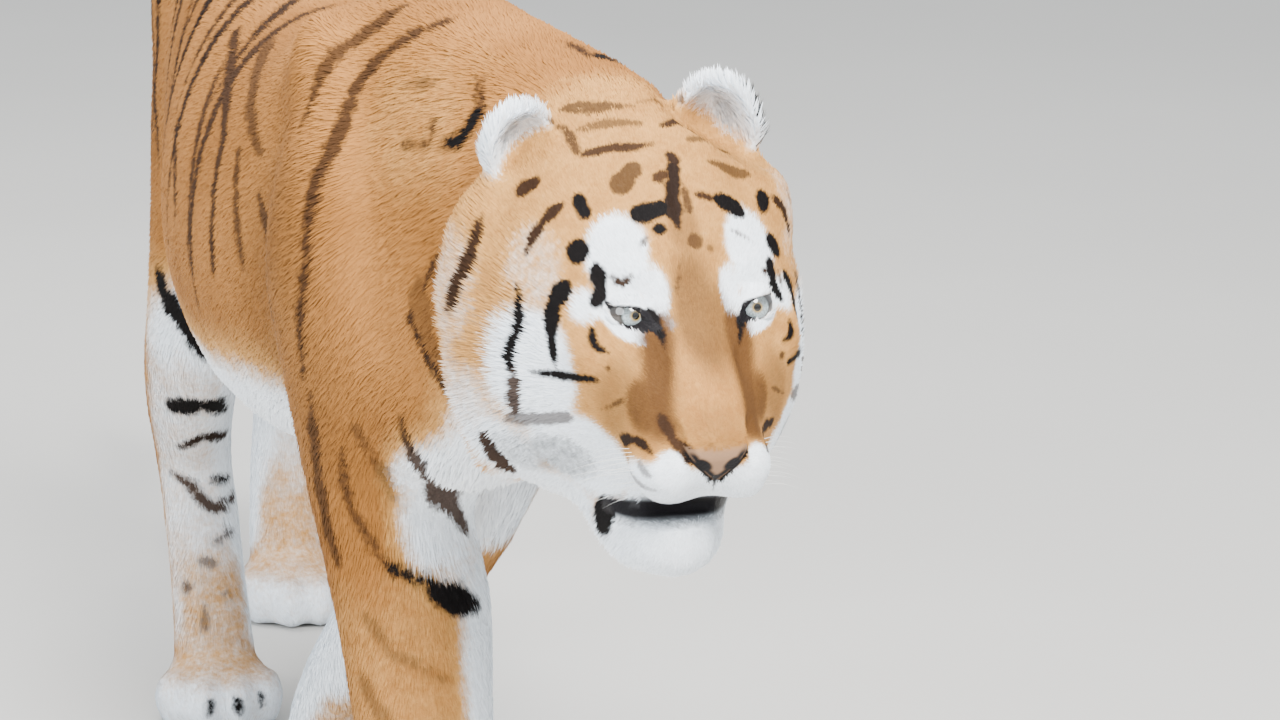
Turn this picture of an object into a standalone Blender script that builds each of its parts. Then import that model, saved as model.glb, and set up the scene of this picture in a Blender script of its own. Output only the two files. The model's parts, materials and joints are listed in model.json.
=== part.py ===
"""An Amur tiger in a slow walk, as a still, life-size model: the animal to the tips of its coat.

The tiger faces -Y, its left side is +X and it stands on z = 0. Its body is built as a sculptor works. First
come lofts along the spine, the legs and the tail, with soft masses for the muscles and the head; a voxel Remesh
fuses them and a Smooth eases the creases. Then the small forms, such as the nose, the ears and the toes, are
fused on in the same way. The whole is last parted by thin flat cuts into the parts that a person would name.
"""

import math

import bmesh
import bpy
from mathutils import Euler, Matrix, Vector

# ---- driving dimensions, in metres -------------------------------------------------------------------
WITHERS = 0.965  # height of the back over the shoulder blades
CUT_GAP = 0.0004  # width of the thin cuts between the parts
EYE_SPACING = 0.113  # from pupil to pupil
EYE_SIDE = 0.0045  # from the middle of the head to the line midway between the eyes
EYE_RADIUS = 0.0185
EYE_DEPTH = 0.011  # from the front of the face to the middle of the eyeball
EYE_DROP = 0.006
EYE_HOLLOW = (0.053, -0.004)  # side and height of the soft hollow round each eye, in the head's own frame
EYE_HOLLOW_REACH = 0.042
EYE_HOLLOW_DEPTH = 0.008

EYES_AT = Vector((0.145, -0.990, 0.752))  # the point midway between the eyes
HEAD_YAW = math.radians(2)  # turned to its own left
HEAD_PITCH = math.radians(5)  # nose down
HEAD_ROLL = math.radians(-1)  # leaning to its own right

BROAD_VOXEL = 0.0075
FINE_VOXEL = 0.005
FACES = 4900  # triangles in the finished surface, before it is parted

# ---- colours of the parts: colour, roughness ---------------------------------------------------------
ORANGE = (0.62, 0.33, 0.13)
CREAM = (0.80, 0.74, 0.66)
AMBER = (0.36, 0.38, 0.26)
FUR_ROUGHNESS = 0.85
EYE_ROUGHNESS = 0.08


def clear_scene():
    for item in list(bpy.data.objects):
        bpy.data.objects.remove(item, do_unlink=True)


def new_collection(name, hidden=False):
    made = bpy.data.collections.new(name)
    bpy.context.scene.collection.children.link(made)
    made.hide_render = hidden
    return made


def finish_material(name, colour, roughness):
    made = bpy.data.materials.new(name)
    made.use_nodes = True
    shader = made.node_tree.nodes["Principled BSDF"]
    shader.inputs["Base Color"].default_value = (*colour, 1.0)
    shader.inputs["Roughness"].default_value = roughness
    shader.inputs["Metallic"].default_value = 0.0
    return made


# ---- modelling helpers -------------------------------------------------------------------------------
def blend(a, b, share):
    return a + (b - a) * share


def along(rows, count):
    """count rows read evenly from a smooth (Catmull-Rom) curve through rows of numbers."""
    last = len(rows) - 1
    made = []
    for step in range(count):
        place = step * last / (count - 1)
        i = min(int(place), last - 1)
        t = place - i
        near = [rows[max(0, min(last, i + k))] for k in (-1, 0, 1, 2)]
        row = []
        for a, b, c, d in zip(*near):
            bent = (2 * a - 5 * b + 4 * c - d) * t**2 + (3 * b - a - 3 * c + d) * t**3
            row.append(0.5 * (2 * b + (c - a) * t + bent))
        made.append(row)
    return made


def mesh_object(name, bm, where):
    mesh = bpy.data.meshes.new(name)
    bm.to_mesh(mesh)
    bm.free()
    made = bpy.data.objects.new(name, mesh)
    where.objects.link(made)
    return made


def loft(name, rings, where):
    """A closed skin over rings of the same number of points, with a face on each end."""
    bm = bmesh.new()
    rows = [[bm.verts.new(point) for point in ring] for ring in rings]
    for one, two in zip(rows, rows[1:]):
        for k in range(len(one)):
            after = (k + 1) % len(one)
            bm.faces.new((one[k], one[after], two[after], two[k]))
    bm.faces.new(rows[0])
    bm.faces.new(rows[-1])
    bmesh.ops.recalc_face_normals(bm, faces=bm.faces)
    return mesh_object(name, bm, where)


def torso(name, stations, where, rings=48, sides=28):
    """A loft of upright egg-shaped sections: (forward, side, top, bottom, half width) at each station."""
    made = []
    for forward, side, top, bottom, half in along(stations, rings):
        girth = blend(bottom, top, 0.46)  # the height at which the section is widest
        ring = []
        for k in range(sides):
            turn = 2 * math.pi * k / sides
            rise = math.sin(turn)
            reach = top - girth if rise > 0 else girth - bottom
            wide = math.copysign(abs(math.cos(turn)) ** 0.86, math.cos(turn))
            ring.append((side + half * wide, -forward, girth + reach * rise))
        made.append(ring)
    return loft(name, made, where)


def limb(name, stations, where, rings=30, sides=18):
    """A loft along a leg or tail: side, forward, height, half thickness across, half thickness fore and aft."""
    rows = along(stations, rings)
    centres = [Vector((row[0], -row[1], row[2])) for row in rows]
    made = []
    for i, (centre, row) in enumerate(zip(centres, rows)):
        tangent = (centres[min(i + 1, rings - 1)] - centres[max(i - 1, 0)]).normalized()
        across = Vector((1, 0, 0))
        across = (across - tangent * across.dot(tangent)).normalized()
        fore = tangent.cross(across)
        turns = [2 * math.pi * k / sides for k in range(sides)]
        made.append([centre + across * row[3] * math.cos(t) + fore * row[4] * math.sin(t) for t in turns])
    return loft(name, made, where)


def mass(name, centre, radii, where, turn=(0, 0, 0), frame=Matrix.Identity(4)):
    """One ellipsoid, turned by degrees about x, y and z, in the given frame."""
    bm = bmesh.new()
    bmesh.ops.create_uvsphere(bm, u_segments=28, v_segments=18, radius=1.0)
    spin = Euler([math.radians(a) for a in turn]).to_matrix().to_4x4()
    place = frame @ Matrix.Translation(centre) @ spin @ Matrix.Diagonal((*radii, 1))
    bmesh.ops.transform(bm, matrix=place, verts=bm.verts)
    return mesh_object(name, bm, where)


def pair(name, centre, radii, where, turn=(0, 0, 0), frame=Matrix.Identity(4)):
    """The same mass on the left (+X) and, mirrored, on the right."""
    x, y, z = centre
    a, b, c = turn
    return [
        mass(name + "_left", (x, y, z), radii, where, (a, b, c), frame),
        mass(name + "_right", (-x, y, z), radii, where, (a, -b, -c), frame),
    ]


def settled(made):
    """Replaces an object's mesh by what its modifiers make of it."""
    graph = bpy.context.evaluated_depsgraph_get()
    mesh = bpy.data.meshes.new_from_object(made.evaluated_get(graph))
    made.modifiers.clear()
    made.data = mesh
    return made


def fused(name, pieces, voxel, ease, where):
    """The pieces joined into one closed skin, with the creases between them eased."""
    bm = bmesh.new()
    for piece in pieces:
        bm.from_mesh(piece.data)
        bpy.data.objects.remove(piece, do_unlink=True)
    made = mesh_object(name, bm, where)
    remesh = made.modifiers.new("fuse", "REMESH")
    remesh.mode = "VOXEL"
    remesh.voxel_size = voxel
    smooth = made.modifiers.new("ease", "SMOOTH")
    smooth.factor = 0.5
    smooth.iterations = ease
    return settled(made)


# ---- the trunk and neck ------------------------------------------------------------------------------
SPINE = (  # forward, side, top, bottom, half width
    (-0.765, 0.0, 0.815, 0.70, 0.035),
    (-0.73, 0.0, 0.855, 0.60, 0.080),
    (-0.65, 0.0, 0.888, 0.53, 0.115),
    (-0.53, 0.0, 0.912, 0.485, 0.124),
    (-0.38, 0.0, 0.905, 0.470, 0.140),
    (-0.22, 0.0, 0.884, 0.448, 0.164),
    (-0.05, 0.0, 0.870, 0.428, 0.188),
    (0.12, 0.0, 0.872, 0.425, 0.190),
    (0.26, 0.002, 0.900, 0.446, 0.182),
    (0.38, 0.006, 0.945, 0.464, 0.160),
    (0.47, 0.014, WITHERS, 0.465, 0.142),
    (0.56, 0.030, 0.962, 0.485, 0.134),
    (0.65, 0.058, 0.954, 0.515, 0.130),
    (0.74, 0.090, 0.942, 0.545, 0.124),
    (0.82, 0.116, 0.926, 0.575, 0.112),
    (0.89, 0.132, 0.900, 0.610, 0.092),
)


# ---- the legs: side, forward, height, half thickness across, half thickness fore and aft -------------
FORE_RIGHT = (
    (-0.050, 0.43, 0.895, 0.030, 0.060),
    (-0.080, 0.47, 0.81, 0.055, 0.110),
    (-0.092, 0.50, 0.70, 0.070, 0.126),
    (-0.068, 0.49, 0.58, 0.074, 0.110),
    (-0.044, 0.48, 0.48, 0.079, 0.090),
    (-0.022, 0.505, 0.37, 0.079, 0.080),
    (-0.018, 0.55, 0.25, 0.070, 0.068),
    (-0.015, 0.60, 0.15, 0.062, 0.060),
    (-0.012, 0.64, 0.085, 0.061, 0.057),
    (-0.010, 0.665, 0.055, 0.060, 0.052),
)
FORE_LEFT = (
    (0.056, 0.41, 0.895, 0.030, 0.060),
    (0.084, 0.43, 0.81, 0.055, 0.110),
    (0.100, 0.44, 0.70, 0.066, 0.126),
    (0.092, 0.40, 0.58, 0.071, 0.108),
    (0.074, 0.355, 0.48, 0.071, 0.088),
    (0.044, 0.26, 0.36, 0.062, 0.073),
    (0.010, 0.135, 0.24, 0.055, 0.060),
    (-0.014, 0.045, 0.15, 0.053, 0.055),
    (-0.020, 0.010, 0.085, 0.058, 0.055),
    (-0.022, 0.020, 0.055, 0.058, 0.050),
)
HIND_RIGHT = (
    (-0.050, -0.53, 0.87, 0.040, 0.090),
    (-0.062, -0.53, 0.77, 0.060, 0.160),
    (-0.076, -0.48, 0.66, 0.064, 0.168),
    (-0.087, -0.42, 0.56, 0.063, 0.135),
    (-0.100, -0.40, 0.46, 0.060, 0.095),
    (-0.104, -0.455, 0.36, 0.053, 0.070),
    (-0.095, -0.505, 0.275, 0.045, 0.054),
    (-0.088, -0.490, 0.20, 0.045, 0.047),
    (-0.085, -0.460, 0.12, 0.046, 0.045),
    (-0.084, -0.435, 0.060, 0.050, 0.044),
)
HIND_LEFT = (
    (0.050, -0.53, 0.87, 0.040, 0.090),
    (0.064, -0.55, 0.77, 0.060, 0.160),
    (0.076, -0.57, 0.66, 0.064, 0.164),
    (0.088, -0.60, 0.56, 0.063, 0.130),
    (0.094, -0.65, 0.47, 0.060, 0.095),
    (0.084, -0.74, 0.38, 0.052, 0.070),
    (0.073, -0.825, 0.30, 0.045, 0.056),
    (0.065, -0.873, 0.22, 0.045, 0.047),
    (0.061, -0.873, 0.13, 0.046, 0.045),
    (0.060, -0.853, 0.060, 0.050, 0.044),
)
TAIL = (
    (0.0, -0.64, 0.830, 0.055, 0.055),
    (-0.002, -0.74, 0.795, 0.050, 0.052),
    (-0.006, -0.83, 0.700, 0.042, 0.044),
    (-0.008, -0.90, 0.560, 0.036, 0.037),
    (-0.004, -0.965, 0.420, 0.034, 0.034),
    (0.006, -1.050, 0.300, 0.034, 0.034),
    (0.020, -1.160, 0.225, 0.034, 0.034),
    (0.035, -1.270, 0.215, 0.033, 0.033),
    (0.046, -1.355, 0.262, 0.030, 0.030),
    (0.050, -1.385, 0.305, 0.014, 0.014),
)

# ---- the feet: side, forward, turn of the toes in degrees, size --------------------------------------
PAWS = {
    "fore_right": (-0.010, 0.675, -2, 1.03),
    "fore_left": (-0.022, 0.030, 2, 1.0),
    "hind_right": (-0.084, -0.415, -4, 0.94),
    "hind_left": (0.060, -0.828, 4, 0.94),
}
TOES = ((-0.052, -0.036), (-0.019, -0.062), (0.019, -0.062), (0.052, -0.036))  # across, ahead of the ball


def paw(name, where):
    """The ball of one foot and its four toes, flat on the ground."""
    side, forward, turn, size = PAWS[name]
    frame = Matrix.Translation((side, -forward, 0)) @ Matrix.Rotation(math.radians(turn), 4, "Z")
    frame = frame @ Matrix.Scale(size, 4)
    made = [mass(name + "_ball", (0, 0.005, 0.036), (0.064, 0.066, 0.044), where, frame=frame)]
    for number, (across, ahead) in enumerate(TOES):
        made.append(
            mass(
                f"{name}_toe_{number}",
                (across, ahead, 0.028),
                (0.0235, 0.046, 0.034),
                where,
                (14, 0, -200 * across),
                frame,
            )
        )
    return made


def body_masses(where):
    made = [torso("torso", SPINE, where)]
    for name, stations in (("a", FORE_RIGHT), ("b", FORE_LEFT), ("c", HIND_RIGHT), ("d", HIND_LEFT)):
        made.append(limb("leg_" + name, stations, where))
    made.append(limb("tail", TAIL, where, rings=44))
    made.append(mass("breast", (0.020, -0.60, 0.61), (0.105, 0.105, 0.115), where))
    made += pair("shoulder_blade", (0.072, -0.42, 0.80), (0.052, 0.100, 0.14), where, (14, 10, 0))
    made += pair("haunch", (0.070, 0.545, 0.75), (0.060, 0.15, 0.13), where)
    made.append(mass("belly", (0, 0.08, 0.50), (0.150, 0.36, 0.085), where))
    return made


# ---- the head, in its own frame: x to its left, -y forward, z up, from the point between the eyes ----
HEAD = (
    Matrix.Translation(EYES_AT)
    @ Matrix.Rotation(HEAD_YAW, 4, "Z")
    @ Matrix.Rotation(HEAD_PITCH, 4, "X")
    @ Matrix.Rotation(HEAD_ROLL, 4, "Y")
)
FACE = (  # forward, side, top, bottom, half width, height of the widest place
    (-0.24, -0.025, 0.125, -0.200, 0.119, -0.04),
    (-0.20, -0.024, 0.135, -0.222, 0.142, -0.055),
    (-0.16, -0.021, 0.138, -0.226, 0.152, -0.065),
    (-0.12, -0.016, 0.130, -0.222, 0.150, -0.070),
    (-0.08, -0.010, 0.108, -0.212, 0.136, -0.070),
    (-0.04, -0.004, 0.074, -0.198, 0.116, -0.074),
    (-0.01, 0.0, 0.036, -0.184, 0.098, -0.078),
    (0.02, 0.0, 0.006, -0.172, 0.084, -0.086),
    (0.05, -0.005, -0.020, -0.160, 0.070, -0.094),
    (0.08, -0.010, -0.038, -0.150, 0.060, -0.100),
    (0.105, -0.010, -0.052, -0.143, 0.052, -0.102),
    (0.123, -0.008, -0.062, -0.131, 0.038, -0.098),
    (0.135, -0.007, -0.072, -0.117, 0.020, -0.094),
)
JAW = (  # the same, for the lower jaw
    (-0.14, -0.016, -0.150, -0.212, 0.070, -0.185),
    (-0.08, -0.018, -0.150, -0.220, 0.069, -0.188),
    (-0.03, -0.021, -0.150, -0.230, 0.064, -0.190),
    (0.02, -0.024, -0.152, -0.234, 0.055, -0.192),
    (0.05, -0.026, -0.156, -0.232, 0.045, -0.194),
    (0.075, -0.026, -0.162, -0.225, 0.036, -0.194),
    (0.090, -0.025, -0.170, -0.210, 0.024, -0.190),
)
BRIDGE = (  # side, forward, height, half width, half depth: from the nose to the crown
    (-0.006, 0.122, -0.074, 0.034, 0.022),
    (-0.005, 0.100, -0.062, 0.035, 0.026),
    (-0.004, 0.068, -0.046, 0.036, 0.029),
    (-0.002, 0.035, -0.031, 0.036, 0.030),
    (0, 0.006, -0.010, 0.038, 0.029),
    (0, -0.018, 0.018, 0.045, 0.030),
    (0, -0.050, 0.052, 0.056, 0.032),
    (0, -0.090, 0.086, 0.066, 0.034),
    (0, -0.130, 0.104, 0.070, 0.034),
)


def face_loft(name, sections, where, rings=44, sides=36, square=1.0):
    """One loft of upright egg-shaped sections, in the head's own frame."""
    made = []
    for forward, side, top, bottom, half, girth in along(sections, rings):
        ring = []
        for k in range(sides):
            turn = 2 * math.pi * k / sides
            wide = math.copysign(abs(math.cos(turn)) ** square, math.cos(turn))
            rise = math.copysign(abs(math.sin(turn)) ** square, math.sin(turn))
            reach = top - girth if rise > 0 else girth - bottom
            ring.append(HEAD @ Vector((side + half * wide, -forward, girth + reach * rise)))
        made.append(ring)
    return loft(name, made, where)


def head_masses(where):
    bridge = limb("bridge", BRIDGE, where, rings=32, sides=24)
    bridge.data.transform(HEAD)
    face = face_loft("face", FACE, where, square=0.88)
    jaw = face_loft("jaw", JAW, where, rings=24, square=0.7)
    made = [face, jaw, bridge]
    made += pair("cheekbone", (0.080, 0.045, -0.045), (0.036, 0.050, 0.045), where, frame=HEAD)
    for name, side, lean in (("ruff_left", 0.089, 4), ("ruff_right", -0.137, -4)):
        made.append(mass(name, (side, 0.170, -0.060), (0.047, 0.065, 0.145), where, (0, lean, 0), HEAD))
    return made


def head_details(where):
    made = []
    for name, side, turn in (("pad_left", 0.018, 10), ("pad_right", -0.041, -12)):
        made.append(mass(name, (side, -0.087, -0.113), (0.036, 0.050, 0.036), where, (0, 0, turn), HEAD))
    made.append(mass("nose", (-0.006, -0.123, -0.085), (0.037, 0.024, 0.026), where, frame=HEAD))
    made.append(mass("chin", (-0.025, -0.056, -0.198), (0.038, 0.034, 0.034), where, frame=HEAD))
    return made


EARS = {  # centre, turn in degrees about x, y and z
    "ear_right": ((-0.118, 0.168, 0.110), (12, -22, 14)),
    "ear_left": ((0.081, 0.168, 0.123), (12, 16, -20)),
}


def ear(name, where):
    """A rounded cup, open to the front: one ellipsoid hollowed by another."""
    centre, turn = EARS[name]
    spin = Euler([math.radians(a) for a in turn]).to_matrix().to_4x4()
    frame = HEAD @ Matrix.Translation(centre) @ spin
    cup = mass(name, (0, 0, 0), (0.046, 0.030, 0.052), where, frame=frame)
    hollow = mass(name + "_hollow", (0, -0.026, 0.004), (0.036, 0.038, 0.040), where, frame=frame)
    carve = cup.modifiers.new("hollow", "BOOLEAN")
    carve.object = hollow
    carve.solver = "EXACT"
    settled(cup)
    bpy.data.objects.remove(hollow, do_unlink=True)
    return cup


def whole_surface(where):
    broad = body_masses(where) + head_masses(where)
    fine = [fused("tiger", broad, BROAD_VOXEL, 14, where)]
    for name in PAWS:
        fine += paw(name, where)
    fine += head_details(where)
    fine += [ear(name, where) for name in EARS]
    return fused("tiger", fine, FINE_VOXEL, 3, where)


def hollowed(made, centre, reach, push):
    """Presses the surface near a point of the head inwards, or draws it out, fading with distance."""
    middle = HEAD @ Vector(centre)
    shift = HEAD.to_3x3() @ Vector(push)
    for vert in made.data.vertices:
        away = (vert.co - middle).length / reach
        if away < 1:
            vert.co += shift * (1 - away**2) ** 2


# ---- the thin cuts: centre, turn in degrees about x, y and z, half width, half height ----------------
# Each is a flat sheet, upright and facing fore and aft until it is turned.
CUTS = {
    "neck": ((0.050, -0.640, 0.74), (-15, 0, 8), 0.30, 0.30),
    "tail_root": ((-0.006, 0.835, 0.690), (-56, 0, 0), 0.07, 0.07),
    "tail_middle": ((-0.006, 0.955, 0.445), (-65, 0, 0), 0.06, 0.06),
    "tail_tip": ((0.020, 1.160, 0.225), (-18, 0, 0), 0.06, 0.06),
    "fore_right_upper": ((-0.028, -0.498, 0.400), (90, 0, 0), 0.105, 0.093),
    "fore_right_lower": ((-0.024, -0.575, 0.200), (68, 0, 0), 0.10, 0.10),
    "fore_right_paw": ((-0.018, -0.64, 0.088), (84, 0, 0), 0.09, 0.09),
    "fore_left_upper": ((0.056, -0.284, 0.388), (90, 0, 0), 0.095, 0.114),
    "fore_left_lower": ((-0.002, -0.09, 0.195), (132, 0, 0), 0.10, 0.10),
    "fore_left_paw": ((-0.020, -0.010, 0.088), (90, 0, 0), 0.09, 0.09),
    "hind_right_upper": ((-0.108, 0.405, 0.435), (90, 0, 0), 0.12, 0.14),
    "hind_right_lower": ((-0.100, 0.500, 0.240), (90, 0, 0), 0.08, 0.09),
    "hind_right_paw": ((-0.093, 0.44, 0.078), (84, 0, 0), 0.08, 0.09),
    "hind_left_upper": ((0.092, 0.685, 0.430), (90, 0, 0), 0.085, 0.145),
    "hind_left_lower": ((0.067, 0.862, 0.245), (112, 0, 0), 0.08, 0.085),
    "hind_left_paw": ((0.061, 0.860, 0.078), (84, 0, 0), 0.08, 0.09),
}
HEAD_CUTS = {  # the same, in the head's own frame
    "head": ((-0.015, 0.222, -0.05), (4, 0, 0), 0.24, 0.26),
    "ear_right": ((-0.119, 0.172, 0.108), (100, -38, 0), 0.066, 0.050),
    "ear_left": ((0.084, 0.168, 0.117), (90, 36, 0), 0.062, 0.060),
    "jaw": ((0, 0.0256, -0.2173), (35, 0, 0), 0.14, 0.062),
}
MOUTH_REACH = 0.13  # how far the wedge that parts the lips runs to each side
MOUTH_CORNER = (-0.002, -0.168)  # forward, height
MOUTH_TOP = (0.17, -0.128)
MOUTH_BOTTOM = (0.17, -0.178)


def sheet(name, frame, half_width, half_height, where):
    bm = bmesh.new()
    bmesh.ops.create_cube(bm, size=1.0)
    size = Matrix.Diagonal((2 * half_width, CUT_GAP, 2 * half_height, 1))
    bmesh.ops.transform(bm, matrix=frame @ size, verts=bm.verts)
    return mesh_object("cut_" + name, bm, where)


def turned(centre, turn):
    return Matrix.Translation(centre) @ Euler([math.radians(a) for a in turn]).to_matrix().to_4x4()


def mouth_wedge(where):
    """The opening between the lips, as a wedge that narrows to the corners of the mouth."""
    bm = bmesh.new()
    corners = []
    for side in (-MOUTH_REACH, MOUTH_REACH):
        outline = (MOUTH_CORNER, MOUTH_TOP, MOUTH_BOTTOM)
        corners.append([bm.verts.new(HEAD @ Vector((side, -f, h))) for f, h in outline])
    one, two = corners
    for k in range(3):
        after = (k + 1) % 3
        bm.faces.new((one[k], one[after], two[after], two[k]))
    bm.faces.new(one)
    bm.faces.new(two)
    bmesh.ops.recalc_face_normals(bm, faces=bm.faces)
    return mesh_object("cut_mouth", bm, where)


def eye_centres():
    half = EYE_SPACING / 2
    return {
        "eye_left": HEAD @ Vector((EYE_SIDE + half, EYE_DEPTH, -EYE_DROP)),
        "eye_right": HEAD @ Vector((EYE_SIDE - half, EYE_DEPTH, -EYE_DROP)),
    }


def ball(name, centre, radius, where, rings=9, sides=14):
    bm = bmesh.new()
    bmesh.ops.create_uvsphere(bm, u_segments=sides, v_segments=rings, radius=radius)
    face_forward = HEAD.to_3x3().to_4x4() @ Matrix.Rotation(math.radians(90), 4, "X")
    bmesh.ops.transform(bm, matrix=Matrix.Translation(centre) @ face_forward, verts=bm.verts)
    return mesh_object(name, bm, where)


def carved(made, cutters):
    for cutter in cutters:
        carve = made.modifiers.new(cutter.name, "BOOLEAN")
        carve.object = cutter
        carve.operation = "DIFFERENCE"
        carve.solver = "EXACT"
    return settled(made)


def lightened(made, faces):
    """Fewer triangles where the form is plain, and flat soles on the ground."""
    triangles = sum(len(face.vertices) - 2 for face in made.data.polygons)
    ease = made.modifiers.new("lighten", "DECIMATE")
    ease.ratio = faces / triangles
    settled(made)
    bm = bmesh.new()
    bm.from_mesh(made.data)
    whole = bm.verts[:] + bm.edges[:] + bm.faces[:]
    cut = bmesh.ops.bisect_plane(bm, geom=whole, plane_co=(0, 0, 0), plane_no=(0, 0, -1), clear_outer=True)
    rim = [edge for edge in cut["geom_cut"] if isinstance(edge, bmesh.types.BMEdge)]
    bmesh.ops.edgeloop_fill(bm, edges=rim)
    bmesh.ops.recalc_face_normals(bm, faces=bm.faces)
    bm.to_mesh(made.data)
    bm.free()
    return made


# ---- the parts: a place near the middle of each, and its colour --------------------------------------
PARTS = {
    "trunk": ((0.008, 0.010, 0.633), ORANGE),
    "neck": ((0.088, -0.702, 0.761), ORANGE),
    "head": ((0.132, -0.882, 0.699), ORANGE),
    "jaw": ((0.135, -0.996, 0.545), CREAM),
    "ear_left": ((0.221, -0.831, 0.904), CREAM),
    "ear_right": ((0.010, -0.834, 0.886), CREAM),
    "tail_root": ((-0.007, 0.892, 0.576), ORANGE),
    "tail_middle": ((0.006, 1.044, 0.322), ORANGE),
    "tail_tip": ((0.034, 1.268, 0.230), ORANGE),
    "foreleg_left_upper": ((0.035, -0.210, 0.300), ORANGE),
    "foreleg_left_lower": ((-0.012, -0.043, 0.146), ORANGE),
    "forepaw_left": ((-0.021, -0.043, 0.041), CREAM),
    "foreleg_right_upper": ((-0.028, -0.524, 0.308), ORANGE),
    "foreleg_right_lower": ((-0.021, -0.607, 0.144), ORANGE),
    "forepaw_right": ((-0.017, -0.683, 0.042), CREAM),
    "hindleg_left_upper": ((0.081, 0.748, 0.355), ORANGE),
    "hindleg_left_lower": ((0.063, 0.870, 0.161), ORANGE),
    "hindpaw_left": ((0.062, 0.816, 0.035), CREAM),
    "hindleg_right_upper": ((-0.101, 0.448, 0.354), ORANGE),
    "hindleg_right_lower": ((-0.087, 0.475, 0.159), ORANGE),
    "hindpaw_right": ((-0.085, 0.403, 0.035), CREAM),
}


def middle_of(faces):
    total = Vector()
    area = 0
    for face in faces:
        size = face.calc_area()
        total += face.calc_center_median() * size
        area += size
    return total / area


def islands(bm):
    left = set(bm.faces)
    while left:
        heap = [left.pop()]
        found = []
        while heap:
            face = heap.pop()
            found.append(face)
            for edge in face.edges:
                for other in edge.link_faces:
                    if other in left:
                        left.remove(other)
                        heap.append(other)
        yield found


def parted(whole, where):
    """One named object from each separate piece of the carved surface."""
    source = bmesh.new()
    source.from_mesh(whole.data)
    made = {}
    for faces in islands(source):
        middle = middle_of(faces)
        name = min(PARTS, key=lambda part: (Vector(PARTS[part][0]) - middle).length)
        piece = bmesh.new()
        copies = {}
        for face in faces:
            for vert in face.verts:
                if vert not in copies:
                    copies[vert] = piece.verts.new(vert.co)
            piece.faces.new([copies[vert] for vert in face.verts])
        bmesh.ops.recalc_face_normals(piece, faces=piece.faces)
        made[name] = mesh_object(name, piece, where)
        made[name].data.materials.append(finish_material(name + "_fur", PARTS[name][1], FUR_ROUGHNESS))
    source.free()
    bpy.data.objects.remove(whole, do_unlink=True)
    return made


def centred(parts):
    """Moves the parts so that the middle of their box stands over the origin."""
    corners = [vert.co for part in parts for vert in part.data.vertices]
    shift = Vector((0, 0, 0))
    for axis in (0, 1):
        values = [corner[axis] for corner in corners]
        shift[axis] = -(min(values) + max(values)) / 2
    for part in parts:
        part.data.transform(Matrix.Translation(shift))
    return shift


if __name__ == "__main__":
    clear_scene()
    tiger = new_collection("tiger")
    cutting = new_collection("cutters", hidden=True)
    body = whole_surface(tiger)
    for flank in (-1, 1):
        at = (EYE_SIDE + flank * EYE_HOLLOW[0], 0.0, EYE_HOLLOW[1])
        hollowed(body, at, EYE_HOLLOW_REACH, (0, EYE_HOLLOW_DEPTH, 0))
    lightened(body, FACES)
    cutters = []
    for table, frame in ((CUTS, Matrix.Identity(4)), (HEAD_CUTS, HEAD)):
        for name, (centre, turn, half_width, half_height) in table.items():
            cutters.append(sheet(name, frame @ turned(centre, turn), half_width, half_height, cutting))
    cutters.append(mouth_wedge(cutting))
    for name, at in eye_centres().items():
        cutters.append(ball("socket_" + name, at, EYE_RADIUS + CUT_GAP, cutting))
    carved(body, cutters)
    parts = list(parted(body, tiger).values())
    for name, at in eye_centres().items():
        eye = ball(name, at, EYE_RADIUS, tiger)
        eye.data.materials.append(finish_material(name + "_glass", AMBER, EYE_ROUGHNESS))
        parts.append(eye)
    SHIFT = centred(parts)
    for cutter in cutters:
        cutter.data.transform(Matrix.Translation(SHIFT))
        cutter.hide_render = True
        cutter.display_type = "WIRE"
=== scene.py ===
# %% [markdown]
# # A walking Amur tiger, dressed
# The solids of the tiger are already made and stand here as a fixed frame. This lesson gives them one
# living skin, its stripes, a coat of small tufts, eyes, a nose and whiskers, and lights the model for a
# portrait.

# %% Load the frame
import json
import math

import bmesh
import bpy
import numpy as np
from mathutils import Matrix, Vector
from mathutils.bvhtree import BVHTree

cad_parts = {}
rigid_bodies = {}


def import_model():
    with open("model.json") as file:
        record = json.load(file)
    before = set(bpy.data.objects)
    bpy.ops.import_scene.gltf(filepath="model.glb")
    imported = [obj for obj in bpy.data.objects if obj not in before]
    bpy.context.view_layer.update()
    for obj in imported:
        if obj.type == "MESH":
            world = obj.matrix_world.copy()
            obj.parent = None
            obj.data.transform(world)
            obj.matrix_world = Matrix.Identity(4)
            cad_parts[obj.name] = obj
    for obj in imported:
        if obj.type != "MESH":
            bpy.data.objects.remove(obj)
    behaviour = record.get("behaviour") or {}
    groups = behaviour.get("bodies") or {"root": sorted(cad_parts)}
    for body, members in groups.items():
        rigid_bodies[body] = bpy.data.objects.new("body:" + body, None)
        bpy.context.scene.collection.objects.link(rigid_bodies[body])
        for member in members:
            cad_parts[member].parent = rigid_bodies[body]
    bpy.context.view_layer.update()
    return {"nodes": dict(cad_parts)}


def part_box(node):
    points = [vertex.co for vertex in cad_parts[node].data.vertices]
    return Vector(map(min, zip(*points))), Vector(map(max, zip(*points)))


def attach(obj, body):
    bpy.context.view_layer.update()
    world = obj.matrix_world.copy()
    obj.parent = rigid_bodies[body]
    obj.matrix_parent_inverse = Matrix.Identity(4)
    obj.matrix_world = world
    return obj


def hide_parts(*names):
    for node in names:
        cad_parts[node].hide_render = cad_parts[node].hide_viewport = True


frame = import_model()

print("nodes in the frame:", len(frame["nodes"]))

# %% [markdown]
# ## Where the head is
# The head is turned a little, so everything on the face is placed in the head's own frame, which starts
# between the eyes. Most places are given in centimetres as (side, forward, up), with the tiger's left as
# the positive side, because that is how a taxidermist measures a head.

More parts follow.
